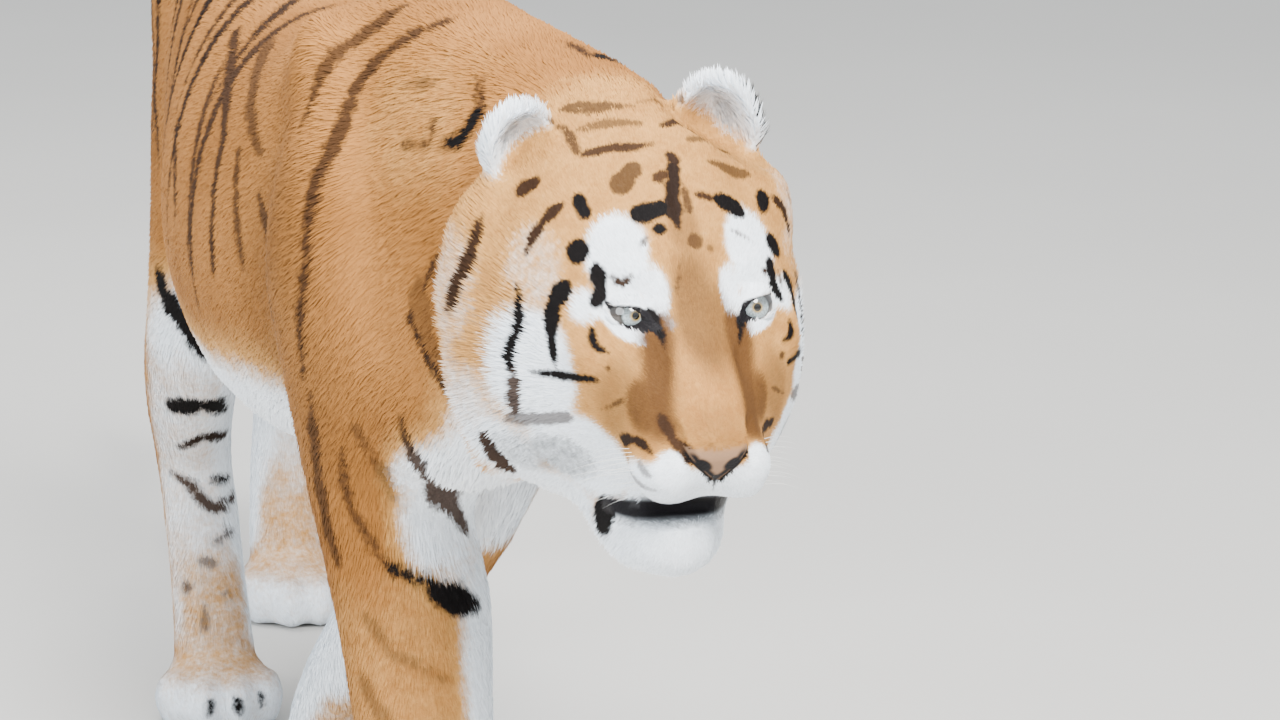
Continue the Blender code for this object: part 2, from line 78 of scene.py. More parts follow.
# %% The head's own frame
CM = 0.01
EYE_RADIUS = 0.0185
EYE_SET_BACK = 0.011  # from the bridge between the eyes to the middle of an eyeball
EYE_DROP = 0.006
EYE_SIDE = 0.0045  # from the middle of the head to the line midway between the eyes
EYE_HALF = 0.0565  # from that line to the middle of an eyeball
HEAD_TURN = Matrix.Identity(4)
for degrees, axis in ((2, "Z"), (5, "X"), (-1, "Y")):  # turned to its left, nodding, and tilted
    HEAD_TURN = HEAD_TURN @ Matrix.Rotation(math.radians(degrees), 4, axis)


def middle(node):
    low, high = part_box(node)
    return (Vector(low) + Vector(high)) / 2


eyes_middle = (middle("eye_left") + middle("eye_right")) / 2
HEAD = Matrix.Translation(eyes_middle) @ HEAD_TURN @ Matrix.Translation((-EYE_SIDE, -EYE_SET_BACK, EYE_DROP))
BODY_SIDE = middle("trunk").x + 0.0495  # where the sides of the places on the body are counted from


def on_head(side, forward, up):
    """A place on the head, in centimetres, in the frame of the whole model, in metres."""
    return HEAD @ Vector((side * CM, -forward * CM, up * CM))


def on_body(side, forward, up):
    """The same for a place on the body: its side and height, and how far ahead of the model's middle."""
    return Vector((side * CM + BODY_SIDE, -forward * CM, up * CM))


def head_places(points):
    """Points of the model in the head's own frame, in centimetres, as columns (side, forward, up)."""
    matrix = np.array(HEAD.inverted())
    local = points @ matrix[:3, :3].T + matrix[:3, 3]
    return local * np.array([1, -1, 1]) / CM


def from_head(points):
    matrix = np.array(HEAD)
    return (points * np.array([1, -1, 1]) * CM) @ matrix[:3, :3].T + matrix[:3, 3]


print("between the eyes:", [round(v, 3) for v in HEAD.translation])

# %% [markdown]
# ## The camera
# A portrait lens looks at the tiger from its right front and a little above. A long lens from six metres
# keeps the animal's proportions natural.

# %% Camera
CAMERA_TURN = math.radians(-11.5)
CAMERA_RISE = math.radians(13)
CAMERA_DISTANCE = 6.0
LENS = 191.7
AIM_LEFT, AIM_DOWN = 0.0423, 0.0467  # from between the eyes to the middle of the picture, in metres


def stand(name, data, place, rotation):
    """Puts a camera or a lamp in the scene."""
    made = bpy.data.objects.new(name, data)
    made.location = place
    made.rotation_mode = "QUATERNION"
    made.rotation_quaternion = rotation
    bpy.context.scene.collection.objects.link(made)
    return made


level = math.cos(CAMERA_RISE)
view_back = Vector((math.sin(CAMERA_TURN) * level, -math.cos(CAMERA_TURN) * level, math.sin(CAMERA_RISE)))
view_right = Vector((math.cos(CAMERA_TURN), math.sin(CAMERA_TURN), 0))
view_up = view_back.cross(view_right)
looked_at = HEAD.translation - view_right * AIM_LEFT - view_up * AIM_DOWN
lens = bpy.data.cameras.new("portrait")
lens.sensor_width = 36
lens.lens = LENS
lens.clip_end = 100
camera_place = looked_at + view_back * CAMERA_DISTANCE
bpy.context.scene.camera = stand("portrait", lens, camera_place, (-view_back).to_track_quat("-Z", "Y"))
print("camera at", [round(v, 2) for v in camera_place])

# %% [markdown]
# ## Small helpers for meshes
# numpy reads and writes whole meshes at once, which keeps a skin of a hundred thousand points quick to
# shape.


# %% Mesh helpers
def read(mesh, name="co"):
    """A vector for every point: its place, its normal, or an attribute."""
    values = np.zeros(len(mesh.vertices) * 3, np.float32)
    if name in ("co", "normal"):
        mesh.vertices.foreach_get(name, values)
    else:
        mesh.attributes[name].data.foreach_get("vector", values)
    return values.reshape(-1, 3).astype(float)


def write_places(mesh, places):
    mesh.vertices.foreach_set("co", places.astype(np.float32).ravel())
    mesh.update()


def store(mesh, name, values):
    """Writes a number or a vector for every point of the mesh, as an attribute that materials can read."""
    kind, field = ("FLOAT_VECTOR", "vector") if values.ndim == 2 else ("FLOAT", "value")
    if name in mesh.attributes:
        mesh.attributes.remove(mesh.attributes[name])
    mesh.attributes.new(name, kind, "POINT").data.foreach_set(field, values.astype(np.float32).ravel())


def keep_only(mesh, wanted):
    for name in [item.name for item in mesh.attributes]:
        item = mesh.attributes[name]
        if name not in wanted and not item.is_internal and not item.is_required:
            mesh.attributes.remove(item)


def add_object(name, mesh):
    made = bpy.data.objects.new(name, mesh)
    bpy.context.scene.collection.objects.link(made)
    return made


def applied(made):
    """Makes the object's modifiers real, and removes them."""
    graph = bpy.context.evaluated_depsgraph_get()
    mesh = bpy.data.meshes.new_from_object(made.evaluated_get(graph))
    made.modifiers.clear()
    old = made.data
    made.data = mesh
    mesh.name = made.name
    bpy.data.meshes.remove(old)


def smooth_shaded(mesh):
    mesh.polygons.foreach_set("use_smooth", np.ones(len(mesh.polygons), bool))


def edge_table(mesh):
    pairs = np.zeros(len(mesh.edges) * 2, np.int32)
    mesh.edges.foreach_get("vertices", pairs)
    pairs = pairs.reshape(-1, 2)
    return pairs[:, 0], pairs[:, 1], np.bincount(pairs.ravel(), minlength=len(mesh.vertices))


def eased(values, edges, rounds, weight=0.5):
    """Moves the number or vector of each point towards the mean of its neighbours, a few times over."""
    one, two, count = edges
    points = len(count)
    columns = values.astype(float).reshape(points, -1)
    share = np.reshape(weight, (-1, 1))
    for _ in range(rounds):
        total = [np.bincount(one, v[two], points) + np.bincount(two, v[one], points) for v in columns.T]
        columns = columns + (np.stack(total, 1) / np.maximum(count, 1)[:, None] - columns) * share
    return columns.reshape(values.shape)


def ramp(values, low, high):
    """0 below low, 1 above high, and a soft rise between. low may be the larger, which turns it over."""
    share = np.clip((values - low) / (high - low), 0, 1)
    return share * share * (3 - 2 * share)


def unit(vectors):
    return vectors / np.maximum(np.linalg.norm(vectors, axis=-1, keepdims=True), 1e-9)


def distance(points, place, reach=1.0):
    """How far each point lies from a place, counted in the reach along each axis."""
    return np.sqrt((((points - np.array(place)) / np.array(reach)) ** 2).sum(axis=1))


def curve_through(points, step):
    """Evenly spaced places on a smooth curve through the points."""
    points = np.array(points, float)
    padded = np.vstack([2 * points[0] - points[1], points, 2 * points[-1] - points[-2]])
    found = []
    for a, b, c, d in zip(padded, padded[1:], padded[2:], padded[3:]):
        count = max(2, int(np.linalg.norm(c - b) / step))
        for t in np.arange(count) / count:
            bend = (2 * a - 5 * b + 4 * c - d) * t**2 + (3 * b - a - 3 * c + d) * t**3
            found.append(0.5 * (2 * b + (c - a) * t + bend))
    return np.array(found + [points[-1]])


# %% [markdown]
# ## One skin
# The solids are cut into parts by hair-thin gaps. A Voxel Remesh swallows such gaps, so the parts become
# one closed skin with no seam. Each part is first swollen by half a millimetre, so that the gaps are sure
# to close. The eyeballs are joined in as well, and the lids are opened over them later.

# %% Join the parts of flesh
FLESH = sorted(name for name in frame["nodes"] if not name.startswith("eye_"))
SWELL = 0.0005
WELD = 0.00005  # corners nearer than this are one
SKIN_VOXEL = 0.006

joined, labels = bmesh.new(), bmesh.new()
label_names = []
for name in FLESH + ["eye_left", "eye_right"]:
    part = bmesh.new()
    part.from_mesh(frame["nodes"][name].data)
    bmesh.ops.remove_doubles(part, verts=part.verts, dist=WELD)
    part.normal_update()
    for vert in part.verts:
        vert.co += vert.normal * SWELL
    part_mesh = bpy.data.meshes.new(name + "_copy")
    part.to_mesh(part_mesh)
    part.free()
    joined.from_mesh(part_mesh)
    labels.from_mesh(part_mesh)
    label_names += [name] * len(part_mesh.polygons)
    bpy.data.meshes.remove(part_mesh)
labels.faces.ensure_lookup_table()
label_tree = BVHTree.FromBMesh(labels)
labels.free()

skin = add_object("skin", bpy.data.meshes.new("skin"))
joined.to_mesh(skin.data)
joined.free()
remesh = skin.modifiers.new("one skin", "REMESH")
remesh.mode = "VOXEL"
remesh.voxel_size = SKIN_VOXEL
applied(skin)
print("skin after the remesh:", len(skin.data.polygons), "faces")

# %% [markdown]
# ## Which part is under each point
# The coat differs from part to part, so each point of the skin is told which solid it came from.


# %% Label the skin
def part_labels(places):
    return np.array([label_names[label_tree.find_nearest(Vector(place))[2]] for place in places])


def on(*starts):
    """Which points of the skin belong to the parts whose names start so."""
    return np.any([np.char.startswith(labelled, start) for start in starts], axis=0)


def per_part(table, default):
    """A value for each point. A later line of the table wins over an earlier one."""
    values = np.full(len(labelled), float(default))
    for start, value in table.items():
        values[on(start)] = value
    return values


places = read(skin.data)
labelled = part_labels(places)
edges = edge_table(skin.data)
print("parts found:", len(set(labelled)))

# %% [markdown]
# ## Ease the facets
# The solids are made of a few thousand flat faces. Moving each point towards the mean of its neighbours
# melts those facets away. The broad trunk moves far at each step, and the ears and toes only a little, or
# they would shrink. Then the skin is drawn in by the depth of the coat, so that the tips of the hairs reach
# the solids' outline.

# %% Ease and draw in
EASING = {"trunk": 0.5, "neck": 0.5, "head": 0.10, "jaw": 0.08, "ear": 0.05, "tail": 0.16}
EASING |= {"forepaw": 0.035, "hindpaw": 0.035}
LEG_EASING = 0.20
COAT_DEPTH = {"trunk": 0.0045, "neck": 0.005, "head": 0.0028, "jaw": 0.0025, "ear": 0.0020, "tail": 0.005}
COAT_DEPTH |= {"forepaw": 0.002, "hindpaw": 0.002}
LEG_DEPTH = 0.003
LEAST_SKIN = 0.0015  # of the skin over the ground
BLEND_ROUNDS, EASING_ROUNDS = 12, 44

weight = eased(per_part(EASING, LEG_EASING), edges, BLEND_ROUNDS)
depth = eased(per_part(COAT_DEPTH, LEG_DEPTH), edges, BLEND_ROUNDS)
places = eased(places, edges, EASING_ROUNDS, weight)
write_places(skin.data, places)
places = places - read(skin.data, "normal") * depth[:, None]
places[places[:, 2] < LEAST_SKIN, 2] = LEAST_SKIN
write_places(skin.data, places)
print("drawn in by", round(depth.min() * 1000, 1), "to", round(depth.max() * 1000, 1), "mm")

# %% [markdown]
# ## Fewer faces on the body, more on the face
# A tiger's flank is plain and its face is not. Decimate thins the body, led by a vertex group that leaves
# the head, the ears and the paws alone. Then the faces round the eyes, nose and mouth are cut finer for the
# carving.

# %% Spread the faces
BODY_TRIANGLES = 62000
BACK_OF_HEAD = -13  # centimetres forward of the eyes

kept = on("head", "jaw", "ear", "eye", "forepaw", "hindpaw").astype(float)
kept[on("head") & (head_places(places)[:, 1] < BACK_OF_HEAD)] = 0
plain = np.nonzero(eased(kept, edges, 6) < 0.4)[0]
skin.vertex_groups.new(name="thin out").add([int(i) for i in plain], 1.0, "REPLACE")
total = 2 * len(skin.data.polygons)
lighten = skin.modifiers.new("thin out", "DECIMATE")
lighten.vertex_group = "thin out"
lighten.ratio = (total - total * len(plain) / len(places) + BODY_TRIANGLES) / total
applied(skin)


def on_face(side, forward, up):
    return (forward > -7) & (up > -25) & (up < 12)


def on_features(side, forward, up):
    eye = (np.abs(np.abs(side) - 5.3) < 3.0) & (np.abs(up + 0.4) < 2.6) & (forward > -4)
    nose = (forward > 10) & (np.abs(side + 0.6) < 4.5) & (up > -15.5)
    lips = (forward > 0) & (np.abs(up + 15.5) < 2.4) & (np.abs(side + 0.6) < 8)
    return eye | nose | lips


def cut_finer(mesh, wanted):
    """Splits every face whose middle is wanted, by cutting all of its edges in half."""
    bm = bmesh.new()
    bm.from_mesh(mesh)
    chosen = wanted(*head_places(np.array([face.calc_center_median() for face in bm.faces])).T)
    cut = {edge for face, yes in zip(bm.faces, chosen) if yes for edge in face.edges}
    bmesh.ops.subdivide_edges(bm, edges=list(cut), cuts=1, use_grid_fill=True, smooth=0.0)
    bmesh.ops.triangulate(bm, faces=[face for face in bm.faces if len(face.verts) > 4])
    bm.to_mesh(mesh)
    bm.free()


for wanted in (on_face, on_features):
    cut_finer(skin.data, wanted)
    print("triangles:", sum(len(face.vertices) - 2 for face in skin.data.polygons))
edges = edge_table(skin.data)
write_places(skin.data, eased(read(skin.data), edges, 2, 0.3))

# %% [markdown]
# ## Carve the face
# The solids give the head its planes; the folds are pressed into the skin, the way a sculptor's thumb works
# in clay. Each press has a middle, a reach along each of the head's axes and a push, and fades out softly.
# The face is a little crooked, so what both cheeks share is turned over about a middle line that leans.

# %% Presses
PRESSES = (  # name, both sides, middle, reach, push: side, forward and up, in centimetres
    ("inner corner of the eye", True, (2.9, 1.6, -1.2), (1.3, 1.8, 1.9), (0.0, -0.55, 0.0)),
    ("hollow under the eye", True, (6.0, 1.2, -3.4), (2.8, 2.2, 1.6), (0.0, -0.30, 0.10)),
    ("brow over the eye", True, (5.2, -1.2, 3.0), (3.4, 2.6, 1.7), (0.0, 0.55, -0.10)),
    ("side of the bridge", True, (4.3, 5.5, -3.6), (1.7, 4.0, 2.6), (-0.35, -0.25, 0.0)),
    ("cheekbone", True, (8.6, -1.4, -4.6), (2.8, 4.0, 3.0), (0.15, 0.10, 0.05)),
    ("whisker pad", True, (4.0, 9.6, -11.2), (3.0, 4.4, 3.0), (0.15, 0.35, 0.10)),
    ("upper lip", True, (3.8, 9.6, -13.6), (3.2, 5.4, 1.5), (0.10, 0.15, -0.40)),
    ("behind the whisker pad", True, (7.6, 4.0, -11.8), (1.8, 2.4, 3.2), (-0.45, 0.0, 0.0)),
    ("crease beside the nose", True, (3.9, 11.6, -8.6), (1.0, 3.4, 2.6), (-0.45, -0.40, 0.0)),
    ("crease under the nose", False, (-0.6, 13.6, -12.6), (0.7, 2.6, 1.9), (0.0, -0.55, 0.0)),
    ("furrow of the forehead", False, (0.0, -4.6, 8.6), (1.0, 4.5, 4.6), (0.0, -0.22, -0.22)),
    ("fur of the left temple", False, (10.5, -13.0, 7.0), (7.0, 8.0, 7.5), (1.8, 0.0, 0.2)),
    ("stop between the eyes", False, (0.0, 0.6, 2.2), (2.4, 3.4, 2.2), (0.0, -0.20, -0.20)),
)
NOSE_MIDDLE = -0.6  # the muzzle leans a little to the tiger's right
NOSE_FRONT = 14.4
BROWS_TO_NOSE = (0.0, 10.0)  # centimetres forward, between which the middle line of the face leans
HEAD_REACH, HEAD_BACK = 30, -24  # centimetres from between the eyes: what is carved with the face


def mirrored(place):
    return (-place[0], place[1], place[2])


def other_cheek(place, out=0.0):
    """The same place on the other half of the face, or farther out."""
    middle_line = np.interp(place[1], BROWS_TO_NOSE, (EYE_SIDE / CM, NOSE_MIDDLE))
    return (2 * middle_line - place[0] + out, place[1], place[2])


def on_both(place, other=other_cheek):
    """A place on the right half, and the same on the left."""
    return mirrored(place), other(mirrored(place))


def shape_face(change):
    """Runs one carving step on the points near the head."""
    places = read(skin.data)
    local = head_places(places)
    near = (np.abs(local) < HEAD_REACH).all(axis=1) & (local[:, 1] > HEAD_BACK)
    local[near] = change(local[near])
    places[near] = from_head(local[near])
    write_places(skin.data, places)


def press_face(points):
    for name, both, at, reach, push in PRESSES:
        presses = zip(on_both(at), (mirrored(push), push)) if both else ((at, push),)
        for place, way in presses:
            away = (((points - np.array(place)) / np.array(reach)) ** 2).sum(axis=1)
            share = np.clip(1 - away, 0, 1) ** 2
            points = points + share[:, None] * np.array(way)
    return points


shape_face(press_face)
print("presses:", len(PRESSES))

# %% [markdown]
# ## Lids over the eyes
# An eyelid is a sheet of skin that slides over a ball. Here the skin near each eye is lifted on to a
# slightly larger ball, and inside an almond-shaped outline it is pushed behind the eyeball, which opens the
# eye.

# %% Open the eyes
ALMOND_HALF_WIDTH = 1.72
ALMOND_UPPER = 0.66
ALMOND_LOWER = 0.62
ALMOND_TILT = math.radians(19)  # the outer corner sits higher
UPPER_LEAN, LOWER_LEAN = -0.22, 0.40  # how much farther each lid opens towards the outer corner
LID_THICKNESS = 0.16
LID_SET_BACK = 0.55  # of the skin behind the front of the ball, inside the opening
BALL_REACH, FRONT_OF_BALL = 3.6, -0.4
LID_REACH = (3.1, 1.7)  # from the middle of the eye, where the lid has faded away and where it is whole
NEAR_EYE, FAR_FROM_EYE = 3.4, 9.0  # beyond the first, a point counts as the second far outside


def eye_middle(flank):
    return np.array([(EYE_SIDE + flank * EYE_HALF) / CM, -EYE_SET_BACK / CM, -EYE_DROP / CM])


def around_eye(points, flank):
    """How far each point is outside the opening, across from its middle and up from its line."""
    at = points - eye_middle(flank)
    out = at[:, 0] * flank
    across = out * math.cos(ALMOND_TILT) + at[:, 2] * math.sin(ALMOND_TILT)
    up = -out * math.sin(ALMOND_TILT) + at[:, 2] * math.cos(ALMOND_TILT)
    width = np.clip(1 - (across / ALMOND_HALF_WIDTH) ** 2, 0, 1) ** 0.8
    upper = ALMOND_UPPER * width * (1 + UPPER_LEAN * across / ALMOND_HALF_WIDTH)
    lower = -ALMOND_LOWER * width * (1 + LOWER_LEAN * across / ALMOND_HALF_WIDTH)
    outside = np.maximum(np.maximum(up - upper, lower - up), np.abs(across) - ALMOND_HALF_WIDTH)
    return np.where(np.hypot(across, up) < NEAR_EYE, outside, FAR_FROM_EYE), across, up


def open_eyes(points):
    ball = EYE_RADIUS / CM
    for flank in (-1, 1):
        at = points - eye_middle(flank)
        radius = np.linalg.norm(at, axis=1)
        outside, across, up = around_eye(points, flank)
        facing = at[:, 1] > FRONT_OF_BALL
        inside = facing & (radius < BALL_REACH) & (outside < 0)
        cover = ramp(np.hypot(across, up * 1.25), *LID_REACH) * facing
        lifted = radius + (np.maximum(radius, ball + LID_THICKNESS) - radius) * cover
        fresh = np.where(inside, ball - LID_SET_BACK, lifted)
        points = eye_middle(flank) + at * (fresh / np.maximum(radius, 1e-6))[:, None]
    return points


shape_face(open_eyes)
labelled = part_labels(read(skin.data))
print("points over the eyeballs:", on("eye").sum())

# %% [markdown]
# ## The ears
# Ears stand as the tiger holds them at the moment, so each is moved a little and made slightly smaller.

# %% Settle the ears
EARS = (("ear_left", (-1.5, 0.0, -0.3), 0.92), ("ear_right", (0.3, 0.0, -0.3), 0.87))  # shift and size
EAR_HOLD = (8.5, 5.0)  # how far from its middle an ear's shift has faded away, and how far it is whole


def settle_ears(points):
    for name, shift, size in EARS:
        from_ear = points - head_places(np.array([middle(name)]))[0]
        share = ramp(np.linalg.norm(from_ear, axis=1), *EAR_HOLD)[:, None]
        points = points + share * (from_ear * (size - 1) + np.array(shift))
    return points


shape_face(settle_ears)
print("skin:", len(skin.data.vertices), "points")

# %% [markdown]
# ## Which way the hair lies
# Hair lies back from the nose, down the legs and out along the tail. Each part gets its own direction, and
# easing it over the surface blends one part into the next.

# %% Lie of the coat
places, normals = read(skin.data), read(skin.data, "normal")
edges = edge_table(skin.data)
local = head_places(places)
side, ahead, above = local.T
facing_left, facing_back, facing_up = normals.T
head_part, ear_part, tail_part = on("head", "jaw", "eye"), on("ear"), on("tail")
body_part, leg_part, paw_part = on("trunk", "neck"), on("foreleg", "hindleg"), on("forepaw", "hindpaw")

flow = np.zeros_like(places)
flow[:] = (0, 1, 0)
flow[body_part, 2] = (-0.55 * np.abs(facing_left) - 0.5 * np.clip(-facing_back, 0, 1))[body_part]
flow[leg_part | ((places[:, 2] < 0.50) & (np.abs(places[:, 1] + 0.6) < 0.2))] = (0, 0.25, -1)
flow[paw_part] = (0, -0.75, -0.55)
tail_angle = np.radians(-78 + 118 * ramp(places[:, 1], 0.78, 1.22))
flow[tail_part, 1] = np.cos(tail_angle)[tail_part]
flow[tail_part, 2] = np.sin(tail_angle)[tail_part]
from_nose = local - np.array([NOSE_MIDDLE, NOSE_FRONT + 1.0, -8.0])
from_nose[:, 2] -= 0.9 * ramp(above, -3, -14) * (6 - np.clip(ahead, -20, 6))
from_nose *= np.array([1.0, -1.0, 1.0])
flow[head_part] = unit(from_nose @ np.array(HEAD_TURN)[:3, :3].T)[head_part]
flow[ear_part] = (0, 0.35, 1.0)
flow = eased(flow, edges, 14)
flow = unit(flow - normals * (flow * normals).sum(axis=1)[:, None])
store(skin.data, "fur_lie", flow)
print("points on the head:", head_part.sum())

# %% [markdown]
# ## Pale and rusty regions
# An Amur tiger is golden above and creamy white below, with white cheeks, brows, lips and chin and a rusty
# nose. Each region is a soft ellipsoid with a middle and a reach, so the colours fade into one another as
# fur does.

# %% Regions of colour
PALE_FACE = (  # name, both sides, middle, reach, strength
    ("brow", True, (5.6, -2.8, 4.2), (3.3, 5.4, 4.6), 1.4),
    ("inside of the eye", True, (3.0, 1.2, 1.6), (1.4, 3.2, 3.6), 1.15),
    ("over the eye", True, (5.6, -0.6, 1.9), (3.2, 3.4, 1.7), 1.15),
    ("beside the eye", True, (8.6, -2.6, -0.4), (1.8, 3.2, 2.2), 0.9),
    ("cheek", True, (12.0, -6.0, -6.8), (4.6, 9.0, 7.0), 1.15),
    ("temple", True, (12.0, -7.0, 2.5), (4.2, 6.5, 6.0), 0.56),
    ("lower cheek", True, (9.4, -1.0, -13.6), (6.6, 9.0, 5.0), 1.3),
    ("lip", True, (4.2, 10.5, -12.2), (5.2, 6.0, 3.1), 1.4),
    ("beside the nose", True, (4.4, 12.4, -10.4), (1.7, 3.2, 1.9), 1.2),
    ("chin", False, (-1.6, 5.0, -20.5), (11.0, 12.0, 6.0), 1.6),
    ("side of the jaw", True, (13.5, -11.0, -15.0), (4.2, 7.0, 4.6), 1.1),
    ("throat", False, (-1.5, -12.0, -21.0), (16.0, 17.0, 9.0), 1.4),
    ("ruff", True, (15.0, -14.0, -12.0), (4.5, 8.0, 7.0), 0.75),
    ("behind the cheek", True, (16.5, -15.0, -2.0), (4.5, 6.5, 9.0), 0.58),
    ("left temple", False, (12.5, -12.0, 6.0), (3.5, 6.0, 6.0), 0.60),
)
LID_LIGHT = 0.62  # centimetres from the opening of the eye to the middle of the pale ring round it
FACE_PALE = 0.36  # the golden parts of the face are paler than the body
MUZZLE_DEEPER = 0.10
RUST_FACE = (
    ("bridge of the nose", False, (0.2, 3.0, -1.0), (2.9, 9.0, 9.5), 0.80),
    ("left side of the bridge", False, (2.2, 3.0, -2.0), (1.4, 7.0, 6.5), 0.75),
    ("between the brows", False, (0.2, -2.5, 6.4), (1.9, 4.0, 4.2), 0.62),
    ("top of the nose", False, (NOSE_MIDDLE, 12.0, -7.4), (3.2, 4.0, 2.6), 0.44),
    ("side of the muzzle", True, (5.8, 8.0, -6.2), (1.9, 5.0, 3.0), 1.15),
    ("cheek under the eye", True, (6.6, 3.0, -7.0), (3.0, 4.5, 4.4), 0.55),
)
RUST_LINE = ((3.0, 2.6, -1.6), (3.5, 5.0, -3.4), (3.9, 7.5, -5.4), (4.0, 10.0, -7.8))  # down the muzzle
RUST_LINE_REACH = (3.0, 0.6)
RUST_LINE_STRENGTH = 1.25
# The forelegs are painted paler: partly their own lighter gold, and partly painted light on the lower legs,
# which face away from the lamps.
FORELEG_PALE_AND_PAINTED_LIGHT = 0.26
PASTERN_PALE = 0.55  # just above the toes each leg is the colour of honey
PALE_BODY = (
    ("breast", False, (9.5, 70.0, 47.0), (11.0, 17.0, 15.0), 1.1),
    ("front of the right foreleg", False, (0.0, 72.0, 46.0), (6.0, 10.0, 7.0), 1.1),
    ("side of the neck", True, (4.0, 80.0, 86.0), (9.0, 12.0, 9.0), 0.24),
    ("flank fold", True, (0.0, -14.0, 46.0), (30.0, 22.0, 9.0), 1.0),
)
RUST_BODY = (("shoulder", True, (15.0, 64.0, 64.0), (10.0, 24.0, 26.0), 0.46),)
BLACK_AND_SHADE_FACE = (  # black skin and fur, and painted shade on the lower cheeks: the back of the ears is done apart
    ("corner of the mouth", True, (7.6, 0.9, -18.3), (1.6, 2.6, 2.0), 1.15),
    # The next two regions are painted shade: grey on the lower cheeks, where the jaw is in shadow.
    ("shade of the cheek", True, (12.5, -9.0, -15.0), (4.6, 7.0, 3.6), 0.44),
    ("painted shade of the lower cheek", True, (10.4, -4.0, -14.4), (4.8, 7.5, 3.4), 0.48),
)
CUP_DEEP = (0.0, 0.0, -1.4)  # from the middle of an ear to the deepest of the painted shade in its cup, in centimetres
# how dark the painted shade in the cup of an ear grows
CUP_SHADE = 0.47
EAR_SPOT_REACH = (0.9, 1.9)  # centimetres: the white spot behind each ear, and the black round it


def soft_regions(points, regions, base, other=other_cheek):
    """The strongest of the soft ellipsoids at each point, between 0 and 1."""
    best = np.array(base, float)
    for name, both, at, reach, strength in regions:
        for place in on_both(at, other) if both else (at,):
            best = np.maximum(best, strength * ramp(distance(points, place, reach), 1.15, 0.45))
    return np.clip(best, 0, 1)


print("regions on the face:", len(PALE_FACE + RUST_FACE + BLACK_AND_SHADE_FACE))

# %% [markdown]
# ## Pale fur
# The belly, the insides and lower parts of the legs and the paws are pale; a light ring runs round each
# eye.

# %% Pale fur
spine_side = float(np.mean([corner[0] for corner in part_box("trunk")]))
body_points = (places * np.array([1, -1, 1]) - np.array([spine_side, 0, 0])) / CM
body_side, body_ahead, body_up = body_points.T
height = places[:, 2]
shin = np.char.endswith(labelled, "lower")

inner_leg = on("foreleg_right", "hindleg_right") * ramp(facing_left, 0.15, 0.65)
inner_leg += on("foreleg_left", "hindleg_left") * ramp(-facing_left, 0.15, 0.65)
under = ramp(facing_up, -0.12, -0.60) * body_part
under *= 1 - ramp(np.abs(body_side), 4, 7) * ramp(body_ahead, 58, 64)
low_trunk = ramp(body_up, 56, 46) * body_part * ramp(facing_up, 0.3, -0.1) * ramp(body_ahead, 56, 44)
hind_pale = 0.75 * on("hindleg") * ramp(facing_back, 0.5, -0.3)
paw_pale = paw_part * (0.48 + 0.40 * ramp(height, 0.075, 0.035))
shin_pale = 0.40 * shin * (facing_back < 0.3)
pale = [under, low_trunk, inner_leg, hind_pale, shin_pale, paw_pale, FORELEG_PALE_AND_PAINTED_LIGHT * on("foreleg")]
pale = soft_regions(body_points, PALE_BODY, np.maximum.reduce(pale), mirrored)
pastern = ramp(height, 0.19, 0.16) * ramp(height, 0.045, 0.065) * ramp(np.abs(facing_left), 0.95, 0.7)
pale += (PASTERN_PALE - pale) * pastern * (shin | paw_part)
face_ground = FACE_PALE - MUZZLE_DEEPER * ramp(ahead, 3.0, 9.0)
pale[head_part] = soft_regions(local[head_part], PALE_FACE, face_ground[head_part])
rim = np.zeros(len(places))
for flank in (-1, 1):
    outside, across, up = around_eye(local, flank)
    light = ramp(np.abs(outside - LID_LIGHT), 0.80, 0.40)
    light *= np.maximum(ramp(across, -2.2, -1.4), ramp(up, 0.2, 0.6))
    pale = np.maximum(pale, light * (ahead > -4) * head_part)
    wet = ramp(outside - 0.38 * ramp(up, -0.1, 0.4), 0.28, 0.12)
    rim = np.maximum(rim, wet * (ahead > -4) * head_part)
pale = np.maximum(pale, ramp(above, -11.6, -12.8) * ramp(ahead, 1.0, 4.0) * head_part)
pale[ear_part] = 1
pale = eased(pale, edges, 6)
store(skin.data, "pale", pale)
print("mean of the pale mask:", round(pale.mean(), 3))

# %% [markdown]
# ## Black fur, painted shade and rusty fur
# The backs of the ears are black round a white spot, the lower cheeks and the cups of the ears are painted
# grey as painted shade, and a rusty line runs down each side of the muzzle.

# %% Black fur, painted shade and rusty fur
head_normals = normals @ np.array(HEAD)[:3, :3]
sable = np.zeros(len(places))
sable[head_part] = soft_regions(local[head_part], BLACK_AND_SHADE_FACE, sable[head_part])
outer = ramp(head_normals[:, 0], 0.45, 0.75) * (side > 0)
sable[ear_part] = np.maximum(ramp(head_normals[:, 1], -0.15, 0.25), outer)[ear_part]
for name in ("ear_left", "ear_right"):
    mine = labelled == name
    spot = local[mine & (head_normals[:, 1] > 0.3)].mean(axis=0) + np.array([0, 0, 0.4])
    sable[mine] *= ramp(distance(local, spot), *EAR_SPOT_REACH)[mine]
    # The cup of each ear is painted grey, darkest low in its middle, as painted shade in the hollow.
    deep = distance(local, local[mine].mean(axis=0) + np.array(CUP_DEEP))
    in_cup = mine & (head_normals[:, 1] < -0.1)
    sable[in_cup] = np.maximum(sable, CUP_SHADE * ramp(deep, 3.4, 0.8))[in_cup]

rust = soft_regions(body_points, RUST_BODY, np.zeros(len(places)), mirrored) * (1 - inner_leg)
rust[head_part] = soft_regions(local[head_part], RUST_FACE, np.zeros(head_part.sum()))
for line in zip(*map(on_both, RUST_LINE)):
    away = np.min([distance(local, place) for place in curve_through(line, 0.4)], axis=0)
    rust = np.maximum(rust, RUST_LINE_STRENGTH * ramp(away, *RUST_LINE_REACH) * head_part)
rust = eased(rust, edges, 2)
store(skin.data, "rust", rust)
print("mean of the rusty mask:", round(rust.mean(), 3))
